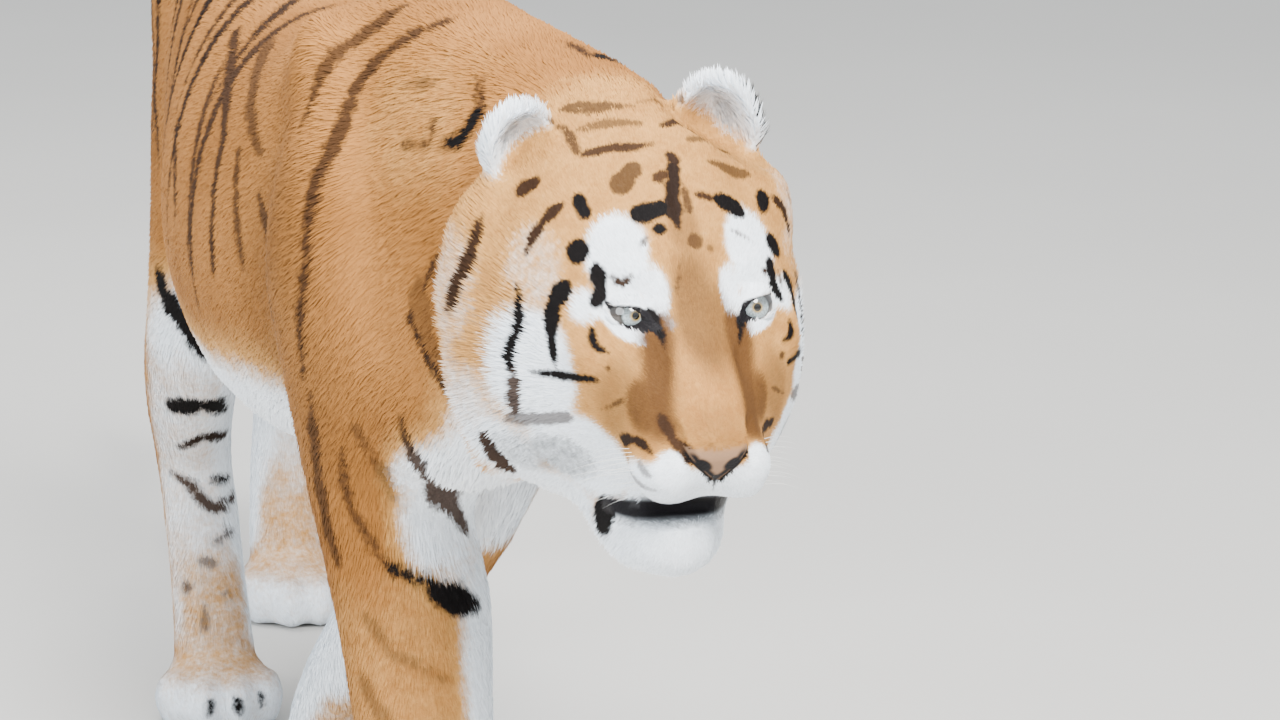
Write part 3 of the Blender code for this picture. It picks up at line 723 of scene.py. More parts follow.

# %% [markdown]
# ## Bare skin
# The nose leather, the lips, the rims of the lids and the inside of the mouth carry no fur. Two masks mark
# them. The second gives the lips, lid rims and nose edges their own black, and paints the nostrils and the
# open mouth black as painted shade in those hollows.

# %% Bare places
NOSE_TOP = -8.3  # height of the leather's upper edge, and how far it narrows below it, in centimetres
NOSE_DROP = 3.2
NOSE_HALF, NOSE_POINT = 2.9, 0.35
NOSTRIL_SIDE, NOSTRIL_UP, NOSTRIL_SLANT = 1.30, -10.1, 0.7
NOSTRIL_LONG, NOSTRIL_HIGH = 1.10, 0.70
MOUTH_UP, MOUTH_SLOPE = -17.6, 0.17  # the line of the mouth under the eyes, and how it rises forward
GAPE_BACK, GAPE_SLOPE = 0.35, 0.055  # half the height of the open mouth at its corner, and how that grows
MOUTH_MIDDLE, MOUTH_HALF = -1.4, 8.5

from_middle = side - NOSE_MIDDLE
down_nose = (NOSE_TOP - above) / NOSE_DROP
leather_half = NOSE_POINT + (NOSE_HALF - NOSE_POINT) * np.clip(1 - np.clip(down_nose, 0, 1) ** 1.3, 0, 1)
to_side = leather_half - np.abs(from_middle)
on_nose = ramp(ahead, 11.2, 12.4) * head_part
leather = ramp(to_side, -0.12, 0.12) * ramp(down_nose, -0.10, 0.22) * ramp(down_nose, 1.12, 1.04) * on_nose
wing = ramp(np.abs(to_side - 0.10), 0.80, 0.25) * ramp(down_nose, 0.02, 0.30) * ramp(down_nose, 1.25, 1.05)
wing *= on_nose
# The nostrils are painted wet black, as painted shade inside them.
out, over = np.abs(from_middle) - NOSTRIL_SIDE, above - NOSTRIL_UP
nostril = np.hypot((out + NOSTRIL_SLANT * over) / NOSTRIL_LONG, (over - NOSTRIL_SLANT * out) / NOSTRIL_HIGH)
nostril = ramp(nostril, 1.25, 0.75) * on_nose
philtrum = ramp(np.abs(from_middle), 0.22, 0.10) * ramp(above, -11.0, -11.3) * (above > -15.0) * on_nose
# The open mouth is painted wet black, as painted shade inside it. The band round it is the real black of the
# lips.
from_gape = np.abs(above - (MOUTH_UP + MOUTH_SLOPE * ahead))
from_gape -= GAPE_BACK + GAPE_SLOPE * np.clip(ahead + 0.2, 0, 20)
mouth = (np.abs(side - MOUTH_MIDDLE) < MOUTH_HALF) * head_part
lips = ramp(from_gape, 0.55, -0.1) * ramp(ahead, -0.8, 0.2) * mouth
lip_fur = ramp(from_gape, 1.7, 0.1) * ramp(ahead, -1.0, 0.4) * mouth

sable = np.maximum.reduce([sable, 0.80 * wing, 0.52 * lip_fur])
dark = np.maximum.reduce([wing * leather, nostril, philtrum, lips, rim])
bare = np.maximum(leather, dark)
for name, values in (("sable", sable), ("leather", leather), ("dark", dark)):
    store(skin.data, name, values)
print("bare points:", (bare > 0.5).sum())

# %% [markdown]
# ## Stripes
# Every stripe is a short path over the skin with a width at each end and an ink from 0, a faint brown, to
# 1, black. The path is drawn through a few places, dropped on to the skin, and each point of the coat then
# learns how far inside a stripe it lies. That depth is positive inside and negative outside.

# %% Stripes of the face: ink, half width at the start and end, places in centimetres
FACE_STRIPES = (
    (0.46, 0.42, 0.4, ((-7.5, -18, 14), (-4.5, -15.5, 14.5), (-1.5, -14.5, 14.5))),
    (0.38, 0.36, 0.32, ((-7, -14.5, 13), (-4, -13, 13.5), (-1.5, -12, 13.5))),
    (0.62, 0.42, 0.28, ((-7, -11, 11.5), (-5, -10.5, 12), (-3, -9.5, 12.5), (-1, -9.5, 12.5))),
    (0.64, 0.32, 0.38, ((0.5, -11.5, 13.5), (3, -13.6, 13.1), (4.8, -15, 12.5))),
    (0.38, 0.24, 0.24, ((-1, -15, 15), (3.5, -17, 14.5))),
    (0.4, 0.32, 0.32, ((2.5, -10, 12.5), (7.5, -14, 10.5))),
    (0.52, 0.26, 0.36, ((-8.7, -16.2, 14), (-7.7, -15, 12.7), (-7.4, -11.7, 11.5))),
    (0.5, 0.55, 0.75, ((-3.1, -7.6, 11), (-4.8, -6.7, 9.6))),
    (0.45, 0.35, 0.45, ((4, -8, 11), (6.5, -9, 9.5), (8, -10, 9))),
    (0.7, 0.35, 0.5, ((0.2, -8.3, 12), (0.6, -7.3, 11.4))),
    (0.6, 0.3, 0.4, ((-1.6, -6, 10.2), (-0.4, -6.4, 10.7))),
    (0.78, 0.4, 0.55, ((0.3, -7.3, 11.4), (0.1, -6, 10.3), (-0.3, -3.8, 8.3), (-0.2, -2.4, 7))),
    (0.5, 0.2, 0.25, ((0.8, -5.3, 9.9), (1, -3.4, 7.9))),
    (0.65, 0.25, 0.35, ((1.9, -4.7, 9), (3.6, -4.8, 8.5))),
    (1, 0.55, 0.65, ((-4, -4.2, 7.5), (-2.5, -3.9, 7.9), (-1, -3.8, 8.3))),
    (0.95, 0.45, 0.4, ((-2.4, -2.6, 6.7), (-1.6, -2.3, 6.7))),
    (0.7, 0.25, 0.15, ((-3.3, -2.4, 5.9), (-3.8, -2.3, 5.3))),
    (1, 0.5, 0.6, ((3.8, -4.9, 8.4), (5.1, -5.2, 7.7), (6.5, -5.5, 6.7))),
    (0.45, 0.4, 0.4, ((0.8, -1.6, 6), (1.3, -1.2, 5.4))),
    (0.35, 0.25, 0.25, ((2.2, -1.4, 5), (2.6, -1.2, 4.8))),
    (0.4, 0.12, 0.12, ((5, -3.5, 5.7), (7, -4, 4.5))),
    (0.65, 0.2, 0.2, ((-6.4, -1.9, 2.6), (-5.7, -1.3, 2.2), (-4.9, -1.3, 2.8))),
    (0.7, 0.3, 0.3, ((7.7, -2.6, 2.2), (8.1, -2.7, 2))),
    (0.4, 0.14, 0.14, ((-0.7, 0, 4.2), (-1.3, 1.4, 2.1))),
    (1, 0.5, 0.5, ((-8.3, -7.9, 8.4), (-7.8, -6.2, 7.2))),
    (1, 0.85, 0.85, ((-9.1, -5.2, 4.7), (-8.8, -4.5, 4))),
    (1, 0.42, 0.5, ((-7.7, -3.1, 3.4), (-7.6, -1.9, 1.5), (-8.1, -1.7, 0.2))),
    (0.95, 0.4, 0.12, ((-8.7, -0.7, -1.7), (-8.5, 0.1, -2.9), (-7.7, 1.3, -3.2))),
    (0.68, 0.42, 0.3, ((-9.5, -8.3, 7.8), (-11, -8.5, 6.4), (-12, -8.6, 4.9), (-13, -8.5, 3.3))),
    (1, 0.35, 0.45, (
        (-13.7, -8, 0.5), (-13.7, -7.3, -2), (-14, -7.4, -4), (-14.5, -7.9, -6), (-14.4, -7.7, -7.3)
    )),
    (0.6, 0.45, 0.55, ((-14.3, -7.7, -7), (-14, -7.5, -8), (-14, -7.9, -11.6))),
    (0.42, 0.5, 0.45, ((-14.5, -9, -12.2), (-12.5, -5.5, -11.3), (-10.2, -2, -10.2))),
    (1, 0.75, 0.28, ((-10.2, -4.1, 1.5), (-11.3, -4.4, -0.4), (-11.6, -4, -2.6), (-11.4, -3.3, -5.6))),
    (0.95, 0.32, 0.3, ((-13, -5.6, -6.9), (-11, -2.5, -6.4), (-8.6, 1, -5.8))),
    (0.5, 0.2, 0.2, ((-8, 1.8, -4.4), (-7.7, 2, -4.6))),
    (0.45, 0.12, 0.12, ((-8.4, 1.9, -8.3), (-7.3, 4.8, -6.5))),
    (0.65, 0.6, 0.8, ((-15, -13.3, -14.6), (-14.7, -13.3, -16.8), (-13.2, -13.7, -19))),
    (0.75, 0.4, 0.2, ((-7.7, 4.6, -10.3), (-6.8, 8.7, -9), (-6.2, 11.6, -9.2))),
    (0.34, 0.26, 0.22, ((-7.7, 10.5, -10.1), (-6.8, 12.4, -11.2))),
    (0.28, 0.26, 0.22, ((-7.6, 6.5, -11.4), (-6.9, 10.2, -12.2), (-6, 12.2, -12.6))),
    # Painted shade: a dark brown band down the tiger's right side of the nose, at the edge of its wing.
    (0.62, 0.32, 0.46, ((-4.9, 9.6, -6.6), (-4.5, 11.4, -7.5), (-3.9, 12.9, -8.6), (-3, 13.9, -9.7))),
    (0.66, 0.55, 0.55, ((-13.1, -12.6, 8.5), (-10.9, -12, 8.8))),
    (0.66, 0.4, 0.55, ((-15.7, -13.8, 5.4), (-16.9, -13.4, 1.5), (-18.1, -15.1, -3.9))),
    (1, 0.45, 0.2, ((-3.9, 1, 0.2), (-3.4, 3, -0.9), (-3.3, 4.8, -2))),
    (0.95, 0.3, 0.2, ((4.4, 1.6, -0.6), (3.9, 4, -2.2))),
    (0.5, 0.18, 0.18, ((9.5, -4.2, 1.5), (9.7, -3.5, 0.3))),
    (0.4, 0.25, 0.25, ((11.8, -13.4, 6), (12.1, -12.6, 4.9))),
)
OTHER_CHEEK = range(24, 38)  # the stripes above that the left cheek repeats
CHEEK_OUT = 1.1  # how much farther out they lie there, in centimetres
print("stripes of the face:", len(FACE_STRIPES))

# %% [markdown]
# ## Stripes of the body
# The neck, shoulders and legs are striped in the same way, in the frame of the whole model.

# %% Stripes of the body: ink, half width at the start and end, places in centimetres
BODY_STRIPES = (
    (0.95, 0.35, 0.6, ((-8, 84, 85), (-6, 86, 86), (-5, 87, 89))),
    (0.6, 0.4, 0.4, ((-4, 84, 91), (-5, 87, 89))),
    (0.55, 0.25, 0.3, ((-10, 78, 84), (-9, 82, 85), (-8, 81, 87))),
    (0.3, 0.25, 0.25, ((-9, 75, 89), (-8, 79, 90))),
    (0.55, 0.6, 0.35, (
        (-5, 73, 95), (-12, 68, 89), (-15, 70, 84), (-18, 71, 78), (-19, 72, 71), (-19, 69, 60)
    )),
    (0.5, 0.7, 0.4, ((-8, 65, 95), (-14, 63, 90), (-17, 64, 84))),
    (0.68, 0.35, 0.45, ((-9, 86, 75), (-10, 84, 71), (-11, 82, 68), (-10, 83, 66), (-7, 85, 61))),
    # A broad faint brown wash: painted shade on the neck under the ruff.
    (0.24, 1.1, 0.8, ((-9.5, 83.5, 72), (-9, 83, 68), (-8, 85, 64))),
    (0.4, 0.7, 0.6, ((-15, 23, 85), (-18, 37, 82), (-20, 50, 78))),
    (0.58, 0.6, 0.55, ((-16, 10, 83), (-21, 33, 78), (-22, 37, 73), (-23, 39, 64))),
    (0.46, 0.6, 0.4, ((-21, 43, 77), (-21, 48, 66))),
    (0.46, 0.6, 0.4, ((-20, 51, 74), (-21, 63, 64))),
    (0.45, 0.35, 0.3, ((-15, 70, 53), (-14, 68, 48), (-13, 69, 45), (-11, 70, 42))),
    (0.95, 0.35, 0.55, ((-11, 70, 42), (-9, 71, 41), (-6, 71, 40))),
    (1, 0.62, 0.9, ((-7, 71, 40), (-4.5, 71, 38.6), (-2, 69, 37.2))),
    (0.6, 0.45, 0.75, ((-11, 79, 58), (-8, 76, 52), (-5, 69, 48), (-2, 67, 44))),
    (0.45, 0.45, 0.6, ((-18, 69, 58), (-17, 66, 51), (-16, 65, 45), (-15, 66, 41))),
    (0.3, 0.4, 0.4, ((-14, 72, 56), (-12, 71, 53), (-10, 70, 48))),
    (0.25, 0.35, 0.35, ((-13, 69, 37), (-11, 72, 34), (-7, 73, 32), (-5, 73, 31))),
    (0.25, 0.5, 0.5, ((-13, 69, 31), (-11, 72, 27), (-9, 74, 24))),
    (1, 0.75, 0.85, ((-21, -24, 51), (-18.5, -19, 46), (-15, -18, 42.5), (-12, -20, 41.5))),
    (1, 0.85, 0.5, ((-18.5, -26, 35.2), (-16, -23, 34.6), (-13, -23, 34), (-10, -26, 32.6))),
    (0.75, 0.35, 0.45, ((-17, -30, 29.5), (-14, -27, 30), (-10.5, -31, 30))),
    (0.85, 0.3, 0.35, ((-12.5, -31, 25), (-9.5, -34, 25))),
    (0.6, 0.4, 0.4, ((-17, -34, 26), (-14.5, -31, 23.5), (-12, -31, 22.5), (-9.5, -34, 23))),
    (0.45, 0.25, 0.25, ((-13, -31, 18.5), (-10.5, -32, 19.5))),
    (0.4, 0.25, 0.25, ((-15, -30, 17), (-13, -30, 16.5))),
    (0.5, 0.35, 0.35, ((-17.2, -30, 14), (-16.6, -29.5, 14))),
    (0.35, 0.25, 0.25, ((-12.2, -29, 13), (-11.6, -29.5, 13))),
    (0.4, 0.25, 0.25, ((-15, -28, 12), (-15, -27, 10))),
    (1, 0.3, 0.2, ((-15.2, -18.6, 5), (-15.2, -18, 2.6))),
    (1, 0.3, 0.2, ((-12.3, -18.4, 5), (-12.3, -17.8, 2.6))),
    (0.95, 0.3, 0.2, ((-9, -20, 5), (-9, -19.4, 2.6))),
)
OTHER_SHOULDER = range(8)  # the stripes above that the left of the neck and shoulder repeats
print("stripes of the body:", len(BODY_STRIPES))

# %% [markdown]
# ## Laying them on the skin
# A stripe narrows to soft points at its ends and its edges waver a little. The left side repeats some of
# the right side's stripes, because both sides of a tiger are alike but never the same.

# %% Lay the stripes on the skin
STEP = 0.004  # between the samples of a stripe's path
POINT_SHARE = 0.48  # a stripe's half width at its very ends, as a share of the rest
TAPER = 0.22  # share of its length over which each end narrows
WOBBLE, WOBBLE_RATE = 0.16, 190.0  # how unevenly its edges run
FACE_SOFTNESS, BODY_SOFTNESS = 0.0022, 0.0048  # over which a stripe's edge fades, to each side, in metres
FACE_WIDER, BODY_WIDER = 1.55, 1.75  # how much broader the marks are than the core of each

skin_tree = BVHTree.FromPolygons([Vector(p) for p in places], [tuple(f.vertices) for f in skin.data.polygons])
stripes = []


class Stripe:
    """A path over the skin with a half width at each of its samples, in metres, its ink and its softness."""

    def __init__(self, points, half_widths, ink, softness=BODY_SOFTNESS):
        self.path = np.array([skin_tree.find_nearest(Vector(p))[0] for p in curve_through(points, STEP)])
        share = np.linspace(0, 1, len(self.path))
        self.half = np.interp(share, np.linspace(0, 1, len(half_widths)), half_widths)
        from_end = np.clip(np.minimum(share, 1 - share) / TAPER, 0, 1)
        self.half *= POINT_SHARE + (1 - POINT_SHARE) * from_end**0.6
        self.half *= 1 + WOBBLE * np.sin(self.path.sum(axis=1) * WOBBLE_RATE)
        self.ink = ink
        self.softness = softness
        reach = self.half.max() + 3 * softness
        self.low = self.path.min(axis=0) - reach
        self.high = self.path.max(axis=0) + reach


def lay(table, place, wider, softness, repeated, other):
    for number, (ink, start, end, points) in enumerate(table):
        halves = [start * CM * wider, end * CM * wider]
        for line in (points, [other(p) for p in points]) if number in repeated else (points,):
            stripes.append(Stripe([place(*p) for p in line], halves, ink, softness))


lay(FACE_STRIPES, on_head, FACE_WIDER, FACE_SOFTNESS, OTHER_CHEEK, lambda p: other_cheek(p, CHEEK_OUT))
lay(BODY_STRIPES, on_body, BODY_WIDER, BODY_SOFTNESS, OTHER_SHOULDER, mirrored)
print("stripes drawn by hand:", len(stripes))

# %% [markdown]
# ## Stripes that follow a rule
# Along the flanks the stripes repeat, so a loop lays them: each hangs from the spine, leans a little, and
# has its own length and waviness from a fixed seed. A ray from inside the body finds the skin at each
# angle.

# %% Hang the flank stripes
TRUNK_CORE = 0.68  # height of the line that the rays start from
FLANK_SOFTNESS = 0.0060
FLANK_FIRST, FLANK_LAST, FLANK_STEP = 26, -66, -8.0  # centimetres forward of the middle
LEFT_SHOULDER_MORE = 26  # how much farther forward the rule runs on the left
FLANK_SWEEP = 9  # how far back, in centimetres, a stripe starts at the spine
chance = np.random.default_rng(7)


def outwards(forward, angle, flank):
    """The place on the skin in the direction of an angle from straight up, at a distance along the body."""
    start = Vector((spine_side, -forward * CM, TRUNK_CORE))
    direction = Vector((flank * math.sin(math.radians(angle)), 0, math.cos(math.radians(angle))))
    return skin_tree.ray_cast(start, direction)[0] or start + direction * 0.1


def flank_stripe(forward, first, last, lean, wave, half, ink, flank):
    points = []
    for share in np.linspace(0, 1, 7):
        bend = wave * math.sin(share * 5.0 + forward)
        at = forward + lean * share + bend - FLANK_SWEEP * (1 - share) ** 2
        points.append(outwards(at, first + (last - first) * share, flank))
    stripes.append(Stripe(points, [half * 0.5, half, half * 0.85, half * 0.3], ink, FLANK_SOFTNESS))


for flank in (-1, 1):
    forward = FLANK_FIRST + (0 if flank < 0 else LEFT_SHOULDER_MORE)
    number = 0
    while forward > FLANK_LAST:
        long = number % 2 == 0
        reach = chance.uniform(104, 128) if long else chance.uniform(58, 84)
        lean = chance.uniform(0.5, 5.0)
        half = chance.uniform(0.0105, 0.0140) if long else chance.uniform(0.0080, 0.0105)
        ink = chance.uniform(0.55, 0.78)
        flank_stripe(forward, 7, reach, lean, chance.uniform(0.3, 0.9), half, ink, flank)
        if long and number % 4 == 0:
            flank_stripe(forward - 2.6, 40, reach - 12, lean, 0.6, half * 0.7, ink - 0.05, flank)
        if not long:
            flank_stripe(forward + 0.5, reach + 16, reach + 44, 1.5, 0.5, half * 0.8, ink, flank)
        forward += FLANK_STEP * chance.uniform(0.85, 1.15)
        number += 1
print("stripes with the flanks:", len(stripes))

# %% [markdown]
# ## Rings and bars
# The tail is ringed and ends in black, and the legs carry a few bars, which are parts of rings.

# %% Tail, legs and haunches
TAIL_CORE = ((-0.056, 0.700, 0.700), (-0.058, 0.770, 0.560), (-0.054, 0.833, 0.420), (-0.044, 0.918, 0.300))
TAIL_CORE += ((-0.030, 1.028, 0.225), (-0.015, 1.138, 0.215), (-0.004, 1.223, 0.262))
TAIL_SAMPLE = 0.02
RING_RAYS, BAR_RAYS = 9, 5
HAUNCH_BARS = (0.68, 0.63, 0.58, 0.53, 0.48)  # heights
LEG_CORES = (  # upper and lower end of the shin or thigh, and how many bars
    ((0.030, 0.560, 0.42), (0.018, 0.700, 0.24), 5),
    ((-0.140, 0.33, 0.46), (-0.140, 0.37, 0.40), 1),
    ((0.010, -0.30, 0.40), (-0.060, -0.16, 0.22), 3),
)


def add_bar(hits, half, ink, end):
    """A bar through the places where rays met the skin."""
    points = [hit for hit in hits if hit]
    if len(points) > 2:
        stripes.append(Stripe(points, [half * end, half, half * end], ink))


def ring(middle, direction, radius, half, ink, first, last):
    """A stripe round a leg or the tail: rays are sent outwards from its core, square to its length."""
    middle, direction = Vector(middle), Vector(direction).normalized()
    side = direction.orthogonal().normalized()
    if abs(direction.z) > 0.5:
        side = (Vector((1, 0, 0)) - direction * direction.x).normalized()
    other = direction.cross(side)
    turns = np.radians(np.linspace(first, last, RING_RAYS))
    hits = [skin_tree.ray_cast(middle, side * math.cos(turn) + other * math.sin(turn))[0] for turn in turns]
    add_bar([hit for hit in hits if hit and (hit - middle).length < radius], half, ink, 0.5)


def haunch_stripe(forward, height, flank, length, half):
    """A bar across the thigh, sloping down and forward."""
    hits = []
    for share in np.linspace(0, 1, BAR_RAYS):
        start = Vector((spine_side, -(forward + length * (share - 0.5)) * CM, height - 0.05 * share))
        hits.append(skin_tree.ray_cast(start, Vector((flank, 0, 0)))[0])
    add_bar(hits, half, 0.8, 0.4)


tail_line = curve_through(TAIL_CORE, TAIL_SAMPLE) + np.array([BODY_SIDE, 0, 0])
for number in range(3, len(tail_line) - 1, 3):
    along = tail_line[number + 1] - tail_line[number - 1]
    ring(tail_line[number], along, 0.08, 0.011 if number > 20 else 0.008, 0.95, 0, 360)
for top, bottom, count in LEG_CORES:
    for share in (np.arange(count) + 0.5) / count:
        core = Vector(top).lerp(Vector(bottom), share) + Vector((BODY_SIDE, 0, 0))
        ring(core, Vector(top) - Vector(bottom), 0.12, 0.006, 0.8, -60, 200 if share < 0.5 else 150)
for flank in (-1, 1):
    for number, height_of_bar in enumerate(HAUNCH_BARS):
        forward = -51 - 1.5 * number + (0 if flank > 0 else 6)
        haunch_stripe(forward, height_of_bar, flank, 17 - 1.5 * number, 0.0085)
beyond_tip = 2 * tail_line[-1] - tail_line[-3]
stripes.append(Stripe(np.vstack([tail_line[-5:], beyond_tip]), [0.035, 0.060], 1.0))
print("stripes in all:", len(stripes))

# %% [markdown]
# ## Depth inside the stripes
# One function answers for any point how deep it lies in a stripe. The skin uses it now and the tufts use it
# later.

# %% Depth inside the stripes
FAR_OUTSIDE = -3.0


def stripe_field(points):
    """How deep each point lies inside the nearest stripe, counted in that stripe's softness, and its ink."""
    inside = np.full(len(points), FAR_OUTSIDE)
    ink = np.full(len(points), 0.5)
    for stripe in stripes:
        near = ((points > stripe.low) & (points < stripe.high)).all(axis=1).nonzero()[0]
        if not len(near):
            continue
        here = points[near]
        best = np.full(len(near), -1.0)
        for place, half in zip(stripe.path, stripe.half):
            away = here - place
            np.maximum(best, half - np.sqrt(np.einsum("ij,ij->i", away, away)), out=best)
        best /= stripe.softness
        better = best > inside[near]
        inside[near[better]] = best[better]
        ink[near[better]] = stripe.ink
    return inside, ink


def store_stripes(mesh, points):
    inside, ink = stripe_field(points)
    store(mesh, "stripe", inside)
    store(mesh, "ink", ink)
    return inside


print("points inside a stripe:", (store_stripes(skin.data, places) > 0).sum())

# %% [markdown]
# ## Small helpers for materials
# A material is a tree of nodes. These helpers make a node, link or set its inputs, and hand on its outputs.


# %% Node helpers
def feed(tree, made, values):
    """Links or sets the inputs of a node, which are called by name or by number."""
    for key, value in values.items():
        if isinstance(value, bpy.types.NodeSocket):
            tree.links.new(value, made.inputs[key])
        else:
            made.inputs[key].default_value = value
    return made.outputs


def node(tree, kind, values=None, **settings):
    """A new node with its settings and its inputs. What comes back are its outputs."""
    made = tree.nodes.new(kind)
    for key, value in settings.items():
        setattr(made, key, value)
    return feed(tree, made, values or {})


def new_tree(name, kind, sockets, result):
    """A node group with its inputs, each a name, a kind of socket and perhaps a default, and one output."""
    made = bpy.data.node_groups.new(name, kind)
    for title, form, *default in sockets:
        socket = made.interface.new_socket(title, in_out="INPUT", socket_type="NodeSocket" + form)
        if default:
            socket.default_value = default[0]
    made.interface.new_socket(result, in_out="OUTPUT", socket_type="NodeSocket" + result)
    return made, node(made, "NodeGroupInput")


def new_material(name):
    made = bpy.data.materials.new(name)
    made.use_nodes = True
    return made, made.node_tree, made.node_tree.nodes["Principled BSDF"]


def mix_colour(tree, factor, one, two):
    one, two = [(*value, 1) if isinstance(value, tuple) else value for value in (one, two)]
    return node(tree, "ShaderNodeMix", {0: factor, 6: one, 7: two}, data_type="RGBA")[2]


def sum_of(tree, operation, *values):
    return node(tree, "ShaderNodeMath", dict(enumerate(values)), operation=operation)[0]


def soft_step(tree, value, low, high):
    limits = {"Value": value, "From Min": low, "From Max": high}
    return node(tree, "ShaderNodeMapRange", limits, interpolation_type="SMOOTHSTEP")["Result"]


def noise(tree, vector, scale, detail=2.0, roughness=0.5):
    values = {"Vector": vector, "Scale": scale, "Detail": detail, "Roughness": roughness}
    return node(tree, "ShaderNodeTexNoise", values)["Fac"]


def attribute(tree, name):
    return node(tree, "ShaderNodeAttribute", attribute_name=name)["Fac"]


def object_place(tree):
    return node(tree, "ShaderNodeTexCoord")["Object"]


def only_material(mesh, material):
    mesh.materials.clear()
    mesh.materials.append(material)


# %% [markdown]
# ## The colours of the coat as one shader group
# The skin and every tuft take their colour from the same group, so that the markings agree. It mixes gold,
# cream tinted with painted cool shade, and rust by the stored masks, breaks the borders up with fine noise,
# and lays the stripes over them.

# %% Colours
GOLD = (0.285, 0.116, 0.026)
GOLD_LIGHT = (0.375, 0.160, 0.040)
HONEY = (0.56, 0.290, 0.085)
# The cream-white of the coat, with a blue tint painted in as the cool shade that lies on it.
CREAM_WITH_COOL_SHADE = (0.85, 0.90, 0.95)
RUST = (0.105, 0.046, 0.014)
BROWN = (0.040, 0.018, 0.008)
BLACK = (0.005, 0.004, 0.004)
COAT_MASKS = {"Stripe": FAR_OUTSIDE, "Ink": 0.5, "Pale": 0.0, "Rust": 0.0, "Sable": 0.0}  # and defaults


def coat_group():
    sockets = [(name, "Float", default) for name, default in (*COAT_MASKS.items(), ("Shade", 1.0))]
    sockets.insert(0, ("Vector", "Vector"))
    group, given = new_tree("tiger coat colours", "ShaderNodeTree", sockets, "Color")

    def over(ground, colour, value, low, high):
        return mix_colour(group, soft_step(group, value, low, high), ground, colour)

    def roughened(value, texture, depth):
        """A value pushed up and down by a noise, which makes its borders ragged."""
        shift = sum_of(group, "MULTIPLY_ADD", texture, depth, -depth / 2)
        return sum_of(group, "ADD", value, shift)

    fine = noise(group, given["Vector"], 170.0, 2.0, 0.6)
    medium = noise(group, given["Vector"], 38.0)
    ground = over(GOLD, GOLD_LIGHT, noise(group, given["Vector"], 5.5, 3.0), 0.35, 0.68)
    pale = roughened(roughened(given["Pale"], fine, 0.30), medium, 0.24)
    ground = over(ground, HONEY, pale, 0.05, 0.58)
    ground = over(ground, CREAM_WITH_COOL_SHADE, pale, 0.42, 0.92)
    ground = over(ground, RUST, roughened(given["Rust"], fine, 0.30), 0.0, 1.15)
    edge = roughened(roughened(given["Stripe"], fine, 2.2), medium, 2.4)
    strength = soft_step(group, given["Ink"], -0.25, 0.70)
    cover = sum_of(group, "MULTIPLY", soft_step(group, edge, -1.0, 1.0), strength)
    colour = mix_colour(group, cover, ground, over(BROWN, BLACK, given["Ink"], 0.50, 0.95))
    # Black fur, and the painted shade of the lower cheeks and the ear cups, turn the colour towards black.
    colour = over(colour, BLACK, roughened(given["Sable"], fine, 0.30), 0.25, 0.75)
    # Shade scales the brightness. The coat feeds it the painted shade towards each tuft's root.
    shaded = node(group, "ShaderNodeHueSaturation", {"Color": colour, "Value": given["Shade"]})
    node(group, "NodeGroupOutput", {"Color": shaded["Color"]})
    return group


COAT_COLOURS = coat_group()


def coat_colour(tree, shade=1.0):
    """The group placed in a material, fed from the attributes of the piece."""
    values = {name: attribute(tree, name.lower()) for name in COAT_MASKS}
    values |= {"Vector": object_place(tree), "Shade": shade}
    return node(tree, "ShaderNodeGroup", values, node_tree=COAT_COLOURS)["Color"]


print("nodes in the coat's colours:", len(COAT_COLOURS.nodes))

# %% [markdown]
# ## The skin's own look
# Between the tufts the skin has the coat's colours. Its bare places are leather or wet black, and smoother;
# the wet black also stands as painted shade in the nostrils and the open mouth.

# %% The skin's material
LEATHER = (0.30, 0.175, 0.100)
# Wet black of the lips, lids and nose edges, also used as painted shade in the nostrils and the open mouth.
WET_BLACK = (0.005, 0.004, 0.005)

skin_material, tree, shader = new_material("tiger skin")
leather_mask, black_and_hollow_shade_mask = attribute(tree, "leather"), attribute(tree, "dark")
colour = mix_colour(tree, leather_mask, coat_colour(tree), LEATHER)
pores = noise(tree, object_place(tree), 420.0, 3.0, 0.65)
look = {
    "Base Color": mix_colour(tree, black_and_hollow_shade_mask, colour, WET_BLACK),
    "Roughness": sum_of(tree, "MULTIPLY_ADD", sum_of(tree, "MAXIMUM", leather_mask, black_and_hollow_shade_mask), -0.45, 0.85),
    "Normal": node(tree, "ShaderNodeBump", {"Strength": 0.30, "Distance": 0.0015, "Height": pores})["Normal"],
    "Specular IOR Level": 0.15,
}
feed(tree, shader, look)
only_material(skin.data, skin_material)
smooth_shaded(skin.data)
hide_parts(*FLESH)
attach(skin, "root")
print("skin dressed")

# %% [markdown]
# ## How thick and long the coat is
# The nose has hairs of less than half a centimetre and the ruff has hairs of three and a half. Each part gets
# its length, its rise over the skin and its density, and the tufts look their own values up where they grow.

# %% Length, rise and density over the skin
LENGTH = {"trunk": 0.020, "neck": 0.023, "ear": 0.008, "tail": 0.022}  # of the hairs, in metres
DENSITY = {"trunk": 11.5, "neck": 13.0, "ear": 30.0, "tail": 12.0}  # tufts to the square centimetre
RISE = {"trunk": 0.085, "neck": 0.09, "ear": 0.10, "tail": 0.14}
LEG_LENGTH, LEG_DENSITY, LEG_RISE = 0.014, 15.0, 0.08
PAW_LENGTH, PAW_DENSITY = 0.008, 26.0
HEAD_LENGTHS = ((-24, -16, -9, -3, 3, 8, 14), (0.024, 0.019, 0.013, 0.0095, 0.0072, 0.0056, 0.0042))
HEAD_DENSITIES = ((-18, -8, 2, 12), (19.0, 24.0, 34.0, 48.0))  # centimetres forward, and the value there
RUFF_EXTRA = 0.012
CROWN_SHARE = 0.62  # length of the hairs on top of the head, as a share of the cheek's
CHIN_EXTRA = 0.010
BELLY_EXTRA = 0.012
CUP_EXTRA = 0.008  # of the hairs that fill the cup of an ear

